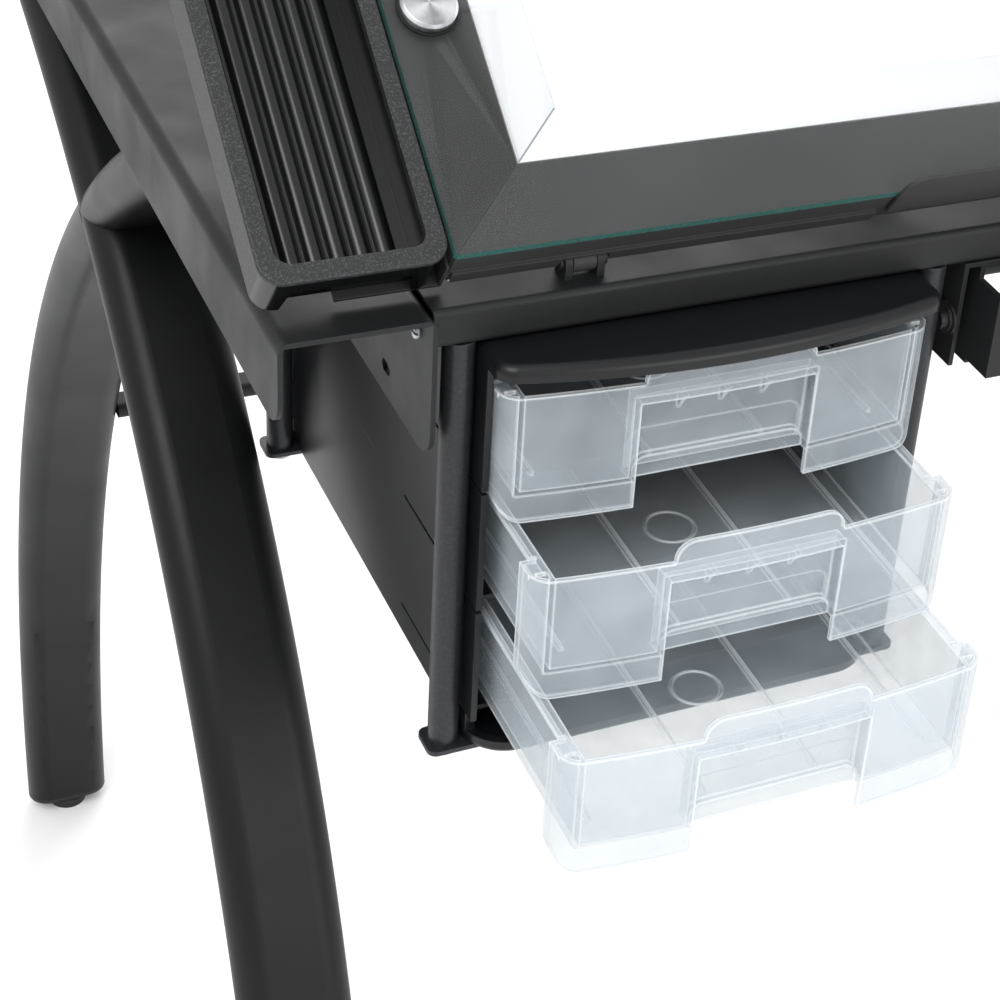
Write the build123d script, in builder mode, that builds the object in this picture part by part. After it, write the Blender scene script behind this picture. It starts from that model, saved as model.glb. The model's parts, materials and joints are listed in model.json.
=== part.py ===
"""Drafting and light table: curved legs, a tilting glass top with a light pad, trays and drawers.

Millimetres, +Z up, X along the width, +Y towards the back. The origin is on the floor, under the
middle of the whole table's plan. The top is built at its working tilt, and the two lower drawers stand
partly open.
"""
import math
import os

from build123d import *

os.makedirs("parts", exist_ok=True)

# ---------------------------------------------------------------- driving dimensions
base_depth = 620.0          # front face of the front rail to the back face of the rear rail
flat_height = 797.0         # glass surface when the top lies flat
glass_w = 902.0
glass_d = 603.0
glass_t = 4.0
top_tilt = 35.5             # degrees, the working tilt, which is also the steepest stop

# steel sheet and rails
sheet = 2.0
rail_h = 16.0
rail_d = 30.0
rail_wall = 1.5
channel_w = 59.0
channel_flange = 36.0       # outer flange height
gusset_drop = 61.0          # inner flange height near the front
gusset_len = 120.0          # behind the front rail's face
channel_bend = 5.0
gusset_corner_r = 12.0
gusset_hole = (44.0, 33.0)  # behind the front rail's face, below the rails' underside
gusset_hole_size = (9.0, 5.0)
rail_fold_r = 2.5
channel_to_glass = 7.5      # from the channel's inner side to the glass edge
web_below_rail = 0.5        # channel web lies this far below the rail's top
channel_ahead = 5.0         # channel's front end ahead of the front rail

# hinge line of the top
hinge_up = 6.0              # pin axis above the rail
hinge_back = 12.5           # pin axis behind the rail's front face
hinge_set = 1.0             # pin axis behind the glass's front edge, measured along the glass
pin_r = 2.5
pin_gap = 0.06
hinge_x = 397.0
knuckle_r = 5.0
knuckle_w = 9.0
knuckle_gap = 0.4
lug_t = 3.0

# top frame
frame_w = 34.0
frame_h = 16.5
frame_wall = 1.6
hem_h = 6.5
hem_out = 1.3
mitre_gap = 0.3
bezel_w = 21.0
bezel_t = 1.5
panel_t = 2.0
cross_bar_w = 24.0
inlet_x = 380.0
inlet_r = 4.5
inlet_bore = 2.8
inlet_flange = 1.5
inlet_len = 11.0
pad_gap = 0.4
guide_t = 5.0
back_t = 1.5
led_w = 8.0
cap_r = 11.0
cap_t = 4.0
cap_washer_t = 1.0
cap_washer_over = 0.8       # washer beyond the cap
cap_chamfer = 1.0
cap_shank_r = 4.0
cap_shank_end = 4.0         # shank beyond the frame's web
cap_hole_r = 4.5
cap_side = 16.2             # cap centre from the glass's side edge
cap_front = 99.0            # cap centre from the glass's front and rear edges

# side trays
tray_w = 69.0
tray_gap = 1.6              # tray rim to glass edge
tray_len = 300.0
tray_front = -1.5           # first tray from the glass's front edge
tray_between = 3.0
tray_h = 24.0
tray_wall = 2.0
tray_rim = 7.0
tray_rim_t = 2.4
tray_r = 9.0
flute_count = 6
flute_pitch = 8.7
flute_shift = 3.1           # flutes lie this far out from the tray's middle
tray_rail_t = 1.5
tray_rail_w = 40.0
tray_upstand_t = 1.2
tray_seat = 0.3
flute_sink = 2.2            # flute centres below the floor's surface
tray_notch_w = 44.5
tray_notch_h = 13.0
tray_notch_slant = 2.5

# pencil ledge
ledge_len = 540.0
ledge_t = 1.5
ledge_top = 12.0            # above the glass surface when raised
ledge_bottom = 14.5         # below the glass surface when raised
ledge_travel = 10.0
ledge_gap = 0.3
ledge_screw_x = 120.0
ledge_screw_n = -9.5
ledge_corner_r = 9.0

# legs
leg_w = 54.0
leg_t = 28.0
leg_wall = 2.0
foot_z = 12.0
front_leg_r = 655.0
front_leg_centre = (372.0, 101.0)
front_leg_end = 79.0        # degrees up from the level through the arc's centre
rear_leg_r = 875.0
rear_leg_centre = (-552.0, -18.0)
rear_leg_end = 61.0
foot_cap_t = 2.5
foot_cap_plug = 12.0
leveler_r = 12.5
leveler_pad_h = 7.0
leveler_stem_r = 4.0
leveler_chamfer = 1.5
plug_gap = 1.5              # leg cap's plug inside the tube
stretcher_h = 10.0
stretcher_d = 20.0
stretcher_z = 404.0

# cabinet and drawers
post_r = 6.25
post_gap = 0.3              # post to cabinet side
cab_x = -345.7
cab_w = 188.0
cab_front = 7.0             # cabinet front ahead of the rail's face
cab_depth = 251.0
cab_wall = 2.5
cap_h = 6.5
cap_below_rail = 0.7
cap_bow = 12.0
cap_over = 11.0             # cap overhang ahead of the cabinet at its corners
tier_h = 56.5
shelf_t = 2.0
shelf_setback = 8.0         # behind the tiers' front edges, clearing the drawer fronts' returns
cab_base_r = 20.0
cab_base_h = 15.5
cab_base_lip = 6.0          # base ahead of the tiers' front edges
cab_base_wall = 4.0
runner_w = 6.0
runner_t = 2.0
strap_t = 2.0
strap_w = 17.0
strap_corner_r = 4.0
cap_nut_h = 4.0
cap_nut_r = 5.75
cap_nut_round = 2.0
drawer_w = 168.0
drawer_d = 236.0
drawer_h = 45.0
drawer_wall = 1.8
drawer_rim_w = 3.0
drawer_rim_t = 1.8
rim_below_tier = 9.0
front_w = 182.0
front_hang = 11.0           # front's bottom below the drawer's floor
front_t = 2.0
front_bow = 12.0            # front's middle ahead of the drawer's corners
front_sagitta = 6.2         # rise of the bowed face from its ends to its middle
front_round = 9.5           # upright corners of the front
front_corner_r = 10.0
front_return = 9.0
front_gap = 1.0
pull_w = 74.0
pull_depth = 8.0
pull_lip = 9.0
tab_h = 9.4
tab_clear = 1.0
tab_pocket = 1.5            # relief under the cap for the top drawer's tab
step_t = 2.5                # each step of the finger recess
step_shares = (0.58, 0.8)   # tops of the steps below the rim, as shares of the drawer's height
step_corner_r = 6.0
middle_pull = 37.5
bottom_pull = 75.0
floor_rib_h = 2.0
floor_rib_w = 1.6
floor_rib_pitch = 49.0
floor_ring_r = 11.0
floor_ring_back = 64.0

# tilt supports
support_x = 227.7
bracket_gap = 1.75          # quadrant to each bracket plate
bracket_drop = 48.0
bracket_len = 92.0
quadrant_r = 69.0
quadrant_half = 11.0
quadrant_t = 2.5
bolt_angle = -37.0          # clamp bolt seen from the hinge pin, degrees from level
bolt_r = 4.0
bolt_gap = 0.08
slot_gap = 0.5
box_w = 34.0                # bracket's front box
box_out = 16.0              # box ahead of the rail's face
nut_t = 6.0
running_gap = 0.4
knob_r = 17.0
knob_t = 14.0
knob_lobes = 6
knob_scallop_r = 4.5
knob_scallop_out = 2.0      # scallop centres beyond the knob's radius
knob_round = 1.5
bolt_end = 3.0              # bolt beyond its nut
reach_far = 200.0           # beyond any support piece, for cutting sketches

# ---------------------------------------------------------------- levels and lines
front_reach = base_depth / 2 + cab_front + front_gap + front_t + bottom_pull + front_bow
rear_rise = foot_z - rear_leg_centre[1]
rear_reach = rear_leg_centre[0] + math.sqrt((rear_leg_r + leg_t / 2) ** 2 - rear_rise**2)
mid_y = (front_reach - rear_reach) / 2      # middle of the base frame, behind the origin
front_y = mid_y - base_depth / 2
rear_y = mid_y + base_depth / 2
front_leg_axis = (mid_y + front_leg_centre[0], front_leg_centre[1])
rear_leg_axis = (mid_y + rear_leg_centre[0], rear_leg_centre[1])
glass_n = 21.0              # glass surface above the hinge pin when flat
hinge_z = flat_height - glass_n
hinge_y = front_y + hinge_back
rail_top = hinge_z - hinge_up
rail_z = rail_top - rail_h
web_top = rail_top - web_below_rail
channel_in = glass_w / 2 + channel_to_glass
channel_out = channel_in + channel_w
leg_x = channel_in + channel_w / 2
frame_bottom = glass_t + frame_h
pad_w = glass_w - 2 * frame_w
pad_d = glass_d - 2 * frame_w


def save(builder, label):
    """Label a finished piece and write it as its own STEP file."""
    builder.part.label = label
    export_step(builder.part, f"parts/{label}.step")


def save_mirrored(builder, label):
    """Write the piece's twin on the other side of the middle plane."""
    with BuildPart() as twin:
        mirror(builder.part, about=Plane.YZ)
    save(twin, label)


def top_plane(depth=0.0, along=0.0, side=0.0):
    """A plane parallel to the glass: `depth` under its surface, `along` from its front edge."""
    tilt = math.radians(top_tilt)
    up = Vector(0, -math.sin(tilt), math.cos(tilt))
    back = Vector(0, math.cos(tilt), math.sin(tilt))
    pin = Vector(0, hinge_y, hinge_z)
    origin = pin + back * (along - hinge_set) + up * (glass_n - depth) + Vector(side, 0, 0)
    return Plane(origin=origin, x_dir=(1, 0, 0), z_dir=up)


def top_normal():
    """Axis square to the glass."""
    plane = top_plane()
    return Axis(plane.origin, plane.z_dir)


def side_plane(x):
    """A plane across the width at x, with its own x axis towards the back and y axis up."""
    return Plane(origin=(x, 0, 0), x_dir=(0, 1, 0), z_dir=(1, 0, 0))


# ---------------------------------------------------------------- base frame
def build_channels():
    """Side channels: bent sheet, open below, with a deeper inner flange at the front."""
    x_mid = -(channel_in + channel_w / 2)
    lowest = web_top - gusset_drop
    flange_low = web_top - channel_flange
    with BuildPart() as channel:
        with BuildSketch(Plane.XZ.offset(channel_ahead - front_y)):
            with Locations((x_mid, web_top - gusset_drop / 2)):
                Rectangle(channel_w, gusset_drop)
            with Locations((x_mid, web_top - gusset_drop / 2 - sheet)):
                Rectangle(channel_w - 2 * sheet, gusset_drop, mode=Mode.SUBTRACT)
        extrude(amount=-(base_depth + channel_ahead))
        folds = channel.edges().filter_by(Axis.Y).group_by(Axis.Z)[-1]
        fillet(folds, radius=channel_bend)
        with BuildSketch(side_plane(-channel_out - 1)):
            with Locations((mid_y, (lowest + flange_low) / 2)):
                Rectangle(base_depth + 2 * channel_ahead + 2, flange_low - lowest)
        extrude(amount=channel_w / 2, mode=Mode.SUBTRACT)
        gusset_end = front_y + gusset_len
        with BuildSketch(side_plane(-channel_in - channel_w / 2)):
            with BuildLine():
                Polyline(
                    (gusset_end, lowest - 1),
                    (gusset_end + gusset_drop - channel_flange, flange_low),
                    (rear_y + 1, flange_low),
                    (rear_y + 1, lowest - 1),
                    close=True,
                )
            make_face()
        extrude(amount=channel_w / 2 + 1, mode=Mode.SUBTRACT)
        corners = channel.edges().filter_by(Axis.X).group_by(Axis.Y)[0].group_by(Axis.Z)
        fillet([e for group in corners[:2] for e in group if e.length < 3 * sheet], radius=gusset_corner_r)
        with BuildSketch(side_plane(-channel_in - 2 * sheet)):
            with Locations((front_y + gusset_hole[0], rail_z - gusset_hole[1])):
                SlotOverall(*gusset_hole_size)
        extrude(amount=3 * sheet, mode=Mode.SUBTRACT)
    save(channel, "left_side_channel")
    save_mirrored(channel, "right_side_channel")


def build_cross_rails():
    """Three hollow rails between the channels: front, middle (over the cabinet) and rear."""
    starts = {"front_rail": front_y, "middle_rail": mid_rail_y, "rear_rail": rear_y - rail_d}
    for label, y in starts.items():
        with BuildPart() as rail:
            with BuildSketch(side_plane(-channel_in)):
                with Locations((y + rail_d / 2, rail_z + rail_h / 2)):
                    RectangleRounded(rail_d, rail_h, rail_fold_r)
                    RectangleRounded(rail_d - 2 * rail_wall, rail_h - 2 * rail_wall, rail_fold_r - rail_wall,
                                     mode=Mode.SUBTRACT)
            extrude(amount=2 * channel_in)
        save(rail, label)


def arc_tube(centre, radius, start, end, wall, grow=0.0):
    """A flat-oval tube bent to an arc in the side plane; angles are up from the level."""
    cy, cz = centre
    with BuildPart() as tube:
        with BuildSketch(Plane.XY.offset(cz)):
            with Locations((-leg_x, cy + radius)):
                SlotOverall(leg_w + 2 * grow, leg_t + 2 * grow)
                if wall:
                    SlotOverall(leg_w - 2 * wall, leg_t - 2 * wall, mode=Mode.SUBTRACT)
        spin = Axis((0, cy, cz), (1, 0, 0))
        sense = 1 if radius > 0 else -1
        profile = tube.pending_faces[0]
        tube.pending_faces.clear()
        revolve(profile, axis=spin, revolution_arc=sense * end)
        if start:
            revolve(profile, axis=spin, revolution_arc=-sense * start)
    return tube.part


def build_legs():
    """Front leg: one long arc up to the channel's rear. Rear leg: an arc that meets it, and a brace."""
    low_front = math.degrees(math.asin((front_leg_axis[1] - foot_z) / front_leg_r)) + 4
    front_tube = arc_tube(front_leg_axis, -front_leg_r, low_front, front_leg_end, leg_wall)
    front_solid = arc_tube(front_leg_axis, -front_leg_r, low_front, front_leg_end, 0, 0.1)
    rear_tube = arc_tube(rear_leg_axis, rear_leg_r, 0, rear_leg_end, leg_wall)
    floor_cut = Pos(0, 0, foot_z - 200) * Box(4000, 4000, 400)
    with BuildPart() as front_leg:
        add(front_tube)
        add(floor_cut, mode=Mode.SUBTRACT)
    with BuildPart() as rear_all:
        add(rear_tube)
        add(floor_cut, mode=Mode.SUBTRACT)
        add(front_solid, mode=Mode.SUBTRACT)
    pieces = rear_all.part.solids().sort_by(Axis.Y)
    with BuildPart() as brace:
        add(pieces[0])
    with BuildPart() as rear_leg:
        add(pieces[-1])
    for piece, name in ((front_leg, "front_leg"), (rear_leg, "rear_leg"), (brace, "leg_brace")):
        save(piece, f"left_{name}")
        save_mirrored(piece, f"right_{name}")


def leg_foot_y(centre, radius):
    """Y of a leg's centreline at the foot."""
    rise = foot_z - centre[1]
    return centre[0] + math.copysign(math.sqrt(radius**2 - rise**2), radius)


def build_feet():
    """Moulded caps that plug the leg ends, and the screw-in levelers under them."""
    spots = {
        "front_left": (-leg_x, leg_foot_y(front_leg_axis, -front_leg_r)),
        "front_right": (leg_x, leg_foot_y(front_leg_axis, -front_leg_r)),
        "rear_left": (-leg_x, leg_foot_y(rear_leg_axis, rear_leg_r)),
        "rear_right": (leg_x, leg_foot_y(rear_leg_axis, rear_leg_r)),
    }
    bore = leveler_stem_r + pin_gap
    with BuildPart() as caps:
        with BuildSketch(Plane.XY.offset(foot_z - foot_cap_t)):
            with Locations(*spots.values()):
                SlotOverall(leg_w, leg_t)
        extrude(amount=foot_cap_t)
        with BuildSketch(Plane.XY.offset(foot_z)):
            with Locations(*spots.values()):
                SlotOverall(leg_w - 2 * (leg_wall + plug_gap), leg_t - 2 * (leg_wall + plug_gap))
        extrude(amount=foot_cap_plug)
        with BuildSketch(Plane.XY.offset(foot_z - foot_cap_t)):
            with Locations(*spots.values()):
                Circle(bore)
        extrude(amount=foot_cap_t + foot_cap_plug, mode=Mode.SUBTRACT)
    save(caps, "leg_end_caps")
    for place, spot in spots.items():
        with BuildPart() as leveler:
            with BuildSketch(Plane.XY):
                with Locations(spot):
                    Circle(leveler_r)
            extrude(amount=leveler_pad_h)
            chamfer(leveler.edges().group_by(Axis.Z)[-1], length=leveler_chamfer)
            with BuildSketch(Plane.XY.offset(leveler_pad_h)):
                with Locations(spot):
                    Circle(leveler_stem_r)
            extrude(amount=foot_z - leveler_pad_h + foot_cap_plug - 1)
        save(leveler, f"leveler_{place}")


def build_stretcher():
    """Flat-oval bar that ties the rear legs together."""
    rise = stretcher_z - rear_leg_axis[1]
    y = rear_leg_axis[0] + math.sqrt(rear_leg_r**2 - rise**2)
    half = leg_x - leg_w / 2
    with BuildPart() as stretcher:
        with BuildSketch(side_plane(-half)):
            with Locations((y, stretcher_z)):
                SlotOverall(stretcher_d, stretcher_h)
        extrude(amount=2 * half)
    save(stretcher, "rear_stretcher")


# ---------------------------------------------------------------- cabinet and its hanger
cap_top = rail_z - cap_below_rail
tier_top = cap_top - cap_h
tiers_bottom = tier_top - 3 * tier_h
cab_bottom = tiers_bottom - cab_base_h
cab_y = front_y - cab_front
post_x = cab_w / 2 + post_gap + post_r
post_front_y = front_y + post_r
post_rear_y = cab_y + cab_depth - 2 * post_r
mid_rail_y = post_rear_y - rail_d / 2


def build_hanger():
    """Four round posts down from the rails, and two flat straps that carry the cabinet."""
    spots = [(cab_x + sx * post_x, y) for sx in (-1, 1) for y in (post_front_y, post_rear_y)]
    with BuildPart() as posts:
        with BuildSketch(Plane.XY.offset(cab_bottom)):
            with Locations(*spots):
                Circle(post_r)
                Circle(post_r - rail_wall, mode=Mode.SUBTRACT)
        extrude(amount=rail_z - cab_bottom)
    save(posts, "hanger_posts")
    with BuildPart() as straps:
        with BuildSketch(Plane.XY.offset(cab_bottom - strap_t)):
            with Locations((cab_x, post_front_y), (cab_x, post_rear_y)):
                RectangleRounded(2 * post_x + strap_w, strap_w, strap_corner_r)
        extrude(amount=strap_t)
    save(straps, "cabinet_straps")
    with BuildPart() as nuts:
        with BuildSketch(Plane.XY.offset(cab_bottom - strap_t - cap_nut_h)):
            with Locations(*spots):
                Circle(cap_nut_r)
        extrude(amount=cap_nut_h)
        fillet(nuts.edges().group_by(Axis.Z)[0], radius=cap_nut_round)
    save(nuts, "strap_cap_nuts")


def bowed_outline(width, back, corner_front, bow):
    """Closed plan outline with straight sides and a bowed front edge, in the cabinet's middle."""
    half = width / 2
    with BuildLine() as outline:
        left = Line((cab_x - half, back), (cab_x - half, corner_front))
        ThreePointArc(left @ 1, (cab_x, corner_front - bow), (cab_x + half, corner_front))
        Line((cab_x + half, corner_front), (cab_x + half, back))
        Line((cab_x + half, back), left @ 0)
    return outline.line


def nose_block(back, nose, low, height, inset):
    """A solid with the drawer front's plan, shrunk by `inset` at the sides and the front."""
    with BuildPart() as block:
        with BuildSketch(Plane.XY.offset(low)):
            with BuildLine():
                add(bowed_outline(front_w - 2 * inset, back, nose + inset + front_sagitta, front_sagitta))
            make_face()
        extrude(amount=height)
        fillet(block.edges().filter_by(Axis.Z).group_by(Axis.Y)[0], radius=front_round - inset)
    return block.part


def build_cabinet():
    """Three stacked tiers, a bowed cap on top and a lipped base below."""
    back = cab_y + cab_depth
    half_y = cab_y + cab_depth / 2
    for number, name in enumerate(("upper", "middle", "lower")):
        top = tier_top - number * tier_h
        with BuildPart() as tier:
            with BuildSketch(Plane.XY.offset(top - tier_h)):
                with Locations((cab_x, half_y)):
                    Rectangle(cab_w, cab_depth)
            extrude(amount=tier_h)
            with BuildSketch(Plane.XY.offset(top - tier_h + shelf_t)):
                with Locations((cab_x, half_y - cab_wall)):
                    Rectangle(cab_w - 2 * cab_wall, cab_depth)
            extrude(amount=tier_h, mode=Mode.SUBTRACT)
            fillet(tier.edges().filter_by(Axis.Z).group_by(Axis.Y)[-1], radius=4)
            with BuildSketch(Plane.XY.offset(top - tier_h)):
                with Locations((cab_x, cab_y)):
                    Rectangle(cab_w - 2 * cab_wall, 2 * shelf_setback)
            extrude(amount=shelf_t, mode=Mode.SUBTRACT)
            inner = cab_w / 2 - cab_wall
            ledge_z = top - rim_below_tier - drawer_rim_t - tray_seat - runner_t
            with BuildSketch(Plane.XY.offset(ledge_z)):
                for sx in (-1, 1):
                    with Locations((cab_x + sx * (inner - runner_w / 2), half_y + 4)):
                        Rectangle(runner_w, cab_depth - 12)
            extrude(amount=runner_t)
            with BuildSketch(Plane.XZ.offset(-cab_y)):
                for sx in (-1, 1):
                    with Locations((cab_x + sx * (cab_w / 2 - cab_wall / 2), top - tier_h + 0.75)):
                        Rectangle(cab_wall + 2, 1.5)
            extrude(amount=-cab_depth / 3, mode=Mode.SUBTRACT)
        save(tier, f"cabinet_{name}_tier")

    with BuildPart() as cap:
        with BuildSketch(Plane.XY.offset(tier_top)):
            with BuildLine():
                add(bowed_outline(cab_w, back, cab_y - cap_over, cap_bow))
            make_face()
        extrude(amount=cap_h)
        fillet(cap.edges().filter_by(Axis.Z), radius=9)
        fillet(cap.edges().group_by(Axis.Z)[-1], radius=4)
        with BuildSketch(Plane.XY.offset(tier_top)):
            with Locations((cab_x, half_y)):
                RectangleRounded(cab_w - 24, cab_depth - 24, 6)
        extrude(amount=cap_h - 2.5, mode=Mode.SUBTRACT)
        with BuildSketch(Plane.XY.offset(tier_top)):
            with Locations((cab_x, cab_y - front_gap - front_t)):
                Rectangle(pull_w + 4, 2 * front_bow + 4)
        extrude(amount=tab_pocket, mode=Mode.SUBTRACT)
    save(cap, "cabinet_cap")

    base_front = cab_y - cab_base_lip
    base_y = (base_front + back) / 2
    base_len = back - base_front
    inner_base = cab_w - 2 * cab_base_wall
    step_end = cab_y + shelf_setback
    step_z = tiers_bottom - (rim_below_tier + drawer_h + front_hang - tier_h) - front_gap
    with BuildPart() as base:
        with BuildSketch(Plane.XY.offset(cab_bottom)):
            with Locations((cab_x, base_y)):
                Rectangle(cab_w, base_len)
        extrude(amount=cab_base_h)
        uprights = base.edges().filter_by(Axis.Z).group_by(Axis.Y)
        fillet(uprights[0], radius=cab_base_r)
        fillet(uprights[-1], radius=cab_base_wall)
        fillet(base.edges().group_by(Axis.Z)[0], radius=cab_base_wall - 1)
        with BuildSketch(Plane.XY.offset(cab_bottom + shelf_t)):
            with Locations((cab_x, base_y)):
                RectangleRounded(inner_base, base_len - 2 * cab_base_wall, cab_base_r - cab_base_wall)
        extrude(amount=cab_base_h, mode=Mode.SUBTRACT)
        with BuildSketch(Plane.XY.offset(step_z)):
            with Locations((cab_x, (base_front + step_end) / 2)):
                Rectangle(cab_w + 2, step_end - base_front)
        extrude(amount=cab_base_h, mode=Mode.SUBTRACT)
    save(base, "cabinet_base")


def build_drawer(name, number, pull):
    """Clear drawer: ribbed box, flanged rims, bowed front with a raised tab and a finger recess."""
    rim = tier_top - number * tier_h - rim_below_tier
    bottom = rim - drawer_h
    corner = cab_y - front_gap - front_t - pull
    back = corner + drawer_d
    nose = corner - front_bow
    low = bottom - front_hang
    half_front = front_w / 2
    bow_r = (half_front**2 + front_sagitta**2) / (2 * front_sagitta)
    box_sagitta = bow_r - math.sqrt(bow_r**2 - (drawer_w / 2) ** 2)
    front_h = rim + tab_h - low
    with BuildPart() as front:
        add(nose_block(corner + front_return, nose, low, front_h, 0))
        add(nose_block(corner + front_return + 1, nose, low, front_h, front_t), mode=Mode.SUBTRACT)
        with BuildSketch(Plane.XZ.offset(-corner + 40)):
            with Locations((cab_x, (rim + low) / 2)):
                RectangleRounded(front_w, rim - low, front_corner_r)
            with Locations((cab_x, (rim + bottom) / 2)):
                Rectangle(front_w, rim - bottom)
            with Locations((cab_x, rim)):
                RectangleRounded(pull_w - 2 * tab_clear, 2 * tab_h, tab_h - 1)
            with Locations((cab_x, low)):
                RectangleRounded(pull_w, 2 * front_hang, front_hang - 2, mode=Mode.SUBTRACT)
        extrude(amount=-80, mode=Mode.INTERSECT)
    box_front = nose + box_sagitta + 0.2
    with BuildPart() as drawer:
        with BuildSketch(Plane.XY.offset(bottom)):
            with BuildLine():
                add(bowed_outline(drawer_w, back, box_front, box_sagitta))
            make_face()
        extrude(amount=drawer_h)
        with BuildSketch(Plane.XY.offset(bottom + drawer_wall)):
            with BuildLine():
                add(bowed_outline(drawer_w, back, box_front, box_sagitta))
            make_face()
            offset(amount=-drawer_wall, mode=Mode.REPLACE)
        extrude(amount=drawer_h, mode=Mode.SUBTRACT)
        rim_front = corner + front_return + 1
        with BuildSketch(Plane.XY.offset(rim - drawer_rim_t)):
            for sx in (-1, 1):
                with Locations((cab_x + sx * (drawer_w / 2 + drawer_rim_w / 2 - 0.1), (rim_front + back) / 2)):
                    Rectangle(drawer_rim_w + 0.2, back - rim_front)
                with Locations((cab_x + sx * (drawer_w / 2 + half_front) / 2, corner + front_return / 2)):
                    Rectangle(half_front - drawer_w / 2, front_return)
        extrude(amount=drawer_rim_t)
        rib_end = back - drawer_wall
        with BuildSketch(Plane.XY.offset(bottom + drawer_wall)):
            for step in (-1.5, -0.5, 0.5, 1.5):
                with Locations((cab_x + step * floor_rib_pitch, (corner + 4 + rib_end) / 2)):
                    Rectangle(floor_rib_w, rib_end - corner - 4)
        extrude(amount=floor_rib_h)
        with BuildSketch(Plane.XY.offset(bottom + drawer_wall)):
            with Locations((cab_x, corner + floor_ring_back)):
                Circle(floor_ring_r)
                Circle(floor_ring_r - 0.8, mode=Mode.SUBTRACT)
        extrude(amount=0.5)
        add(front.part)
        recess_top = rim - pull_lip
        recess_back = nose + front_t + pull_depth
        with BuildSketch(Plane.XY.offset(bottom - front_hang - 1)):
            with Locations((cab_x, recess_back - 40)):
                Rectangle(pull_w, 80)
        extrude(amount=recess_top - bottom + front_hang + 1, mode=Mode.SUBTRACT)
        with BuildSketch(Plane.XY.offset(bottom)):
            with Locations((cab_x, recess_back - drawer_wall / 2)):
                Rectangle(pull_w, drawer_wall)
            for sx in (-1, 1):
                with Locations((cab_x + sx * (pull_w / 2 + drawer_wall / 2), recess_back - pull_depth / 2)):
                    Rectangle(drawer_wall, pull_depth)
        extrude(amount=recess_top - bottom)
        with BuildSketch(Plane.XY.offset(recess_top)):
            with Locations((cab_x, recess_back - pull_depth / 2)):
                Rectangle(pull_w + 2 * drawer_wall, pull_depth)
        extrude(amount=drawer_wall)
        for number, share in enumerate(step_shares):
            step_y = recess_back - drawer_wall - (number + 0.5) * step_t
            with BuildSketch(Plane.XZ.offset(-step_y - step_t / 2)):
                with Locations((cab_x, bottom)):
                    RectangleRounded(pull_w, 2 * drawer_h * (1 - share), step_corner_r)
                with Locations((cab_x, bottom - drawer_h / 2)):
                    Rectangle(pull_w, drawer_h, mode=Mode.SUBTRACT)
            extrude(amount=-step_t)
        for step in (-1, 0, 1):
            with BuildSketch(side_plane(cab_x + step * 18 - 0.7)):
                with BuildLine():
                    Polyline(
                        (recess_back - drawer_wall, recess_top),
                        (recess_back - drawer_wall, recess_top - 9),
                        (recess_back - pull_depth, recess_top),
                        close=True,
                    )
                make_face()
            extrude(amount=1.4)
    save(drawer, name)


# ---------------------------------------------------------------- tilting top
def build_glass():
    """Tempered glass sheet, and the four metal caps that hold it down."""
    with BuildPart() as glass:
        with BuildSketch(top_plane(glass_t, glass_d / 2)):
            RectangleRounded(glass_w, glass_d, 1.5)
            with GridLocations(glass_w - 2 * cap_side, glass_d - 2 * cap_front, 2, 2):
                Circle(cap_hole_r, mode=Mode.SUBTRACT)
        extrude(amount=glass_t)
    save(glass, "glass_panel")
    with BuildPart() as washers:
        with BuildSketch(top_plane(0, glass_d / 2)):
            with GridLocations(glass_w - 2 * cap_side, glass_d - 2 * cap_front, 2, 2):
                Circle(cap_r + cap_washer_over)
                Circle(cap_hole_r, mode=Mode.SUBTRACT)
        extrude(amount=cap_washer_t)
    save(washers, "glass_cap_washers")
    with BuildPart() as caps:
        with BuildSketch(top_plane(-cap_washer_t, glass_d / 2)):
            with GridLocations(glass_w - 2 * cap_side, glass_d - 2 * cap_front, 2, 2):
                Circle(cap_r)
        extrude(amount=cap_t)
        chamfer(caps.faces().group_by(top_normal())[-1].edges(), length=cap_chamfer)
        with BuildSketch(top_plane(-cap_washer_t, glass_d / 2)):
            with GridLocations(glass_w - 2 * cap_side, glass_d - 2 * cap_front, 2, 2):
                Circle(cap_shank_r)
        extrude(amount=-(cap_washer_t + glass_t + frame_wall + cap_shank_end))
    save(caps, "glass_caps")


def frame_side(corners):
    """One mitred frame side: a folded sheet profile, open below."""
    with BuildPart() as side:
        with BuildSketch(top_plane(glass_t, glass_d / 2)):
            with BuildLine():
                Polyline(*corners, close=True)
            make_face()
            offset(amount=-mitre_gap / 2, kind=Kind.INTERSECTION, mode=Mode.REPLACE)
        extrude(amount=-frame_h)
        with BuildSketch(top_plane(glass_t + frame_wall, glass_d / 2)):
            with BuildLine():
                Polyline(*corners, close=True)
            make_face()
            offset(amount=-mitre_gap / 2 - frame_wall, kind=Kind.INTERSECTION, mode=Mode.REPLACE)
        extrude(amount=-frame_h, mode=Mode.SUBTRACT)
    return side.part


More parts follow.
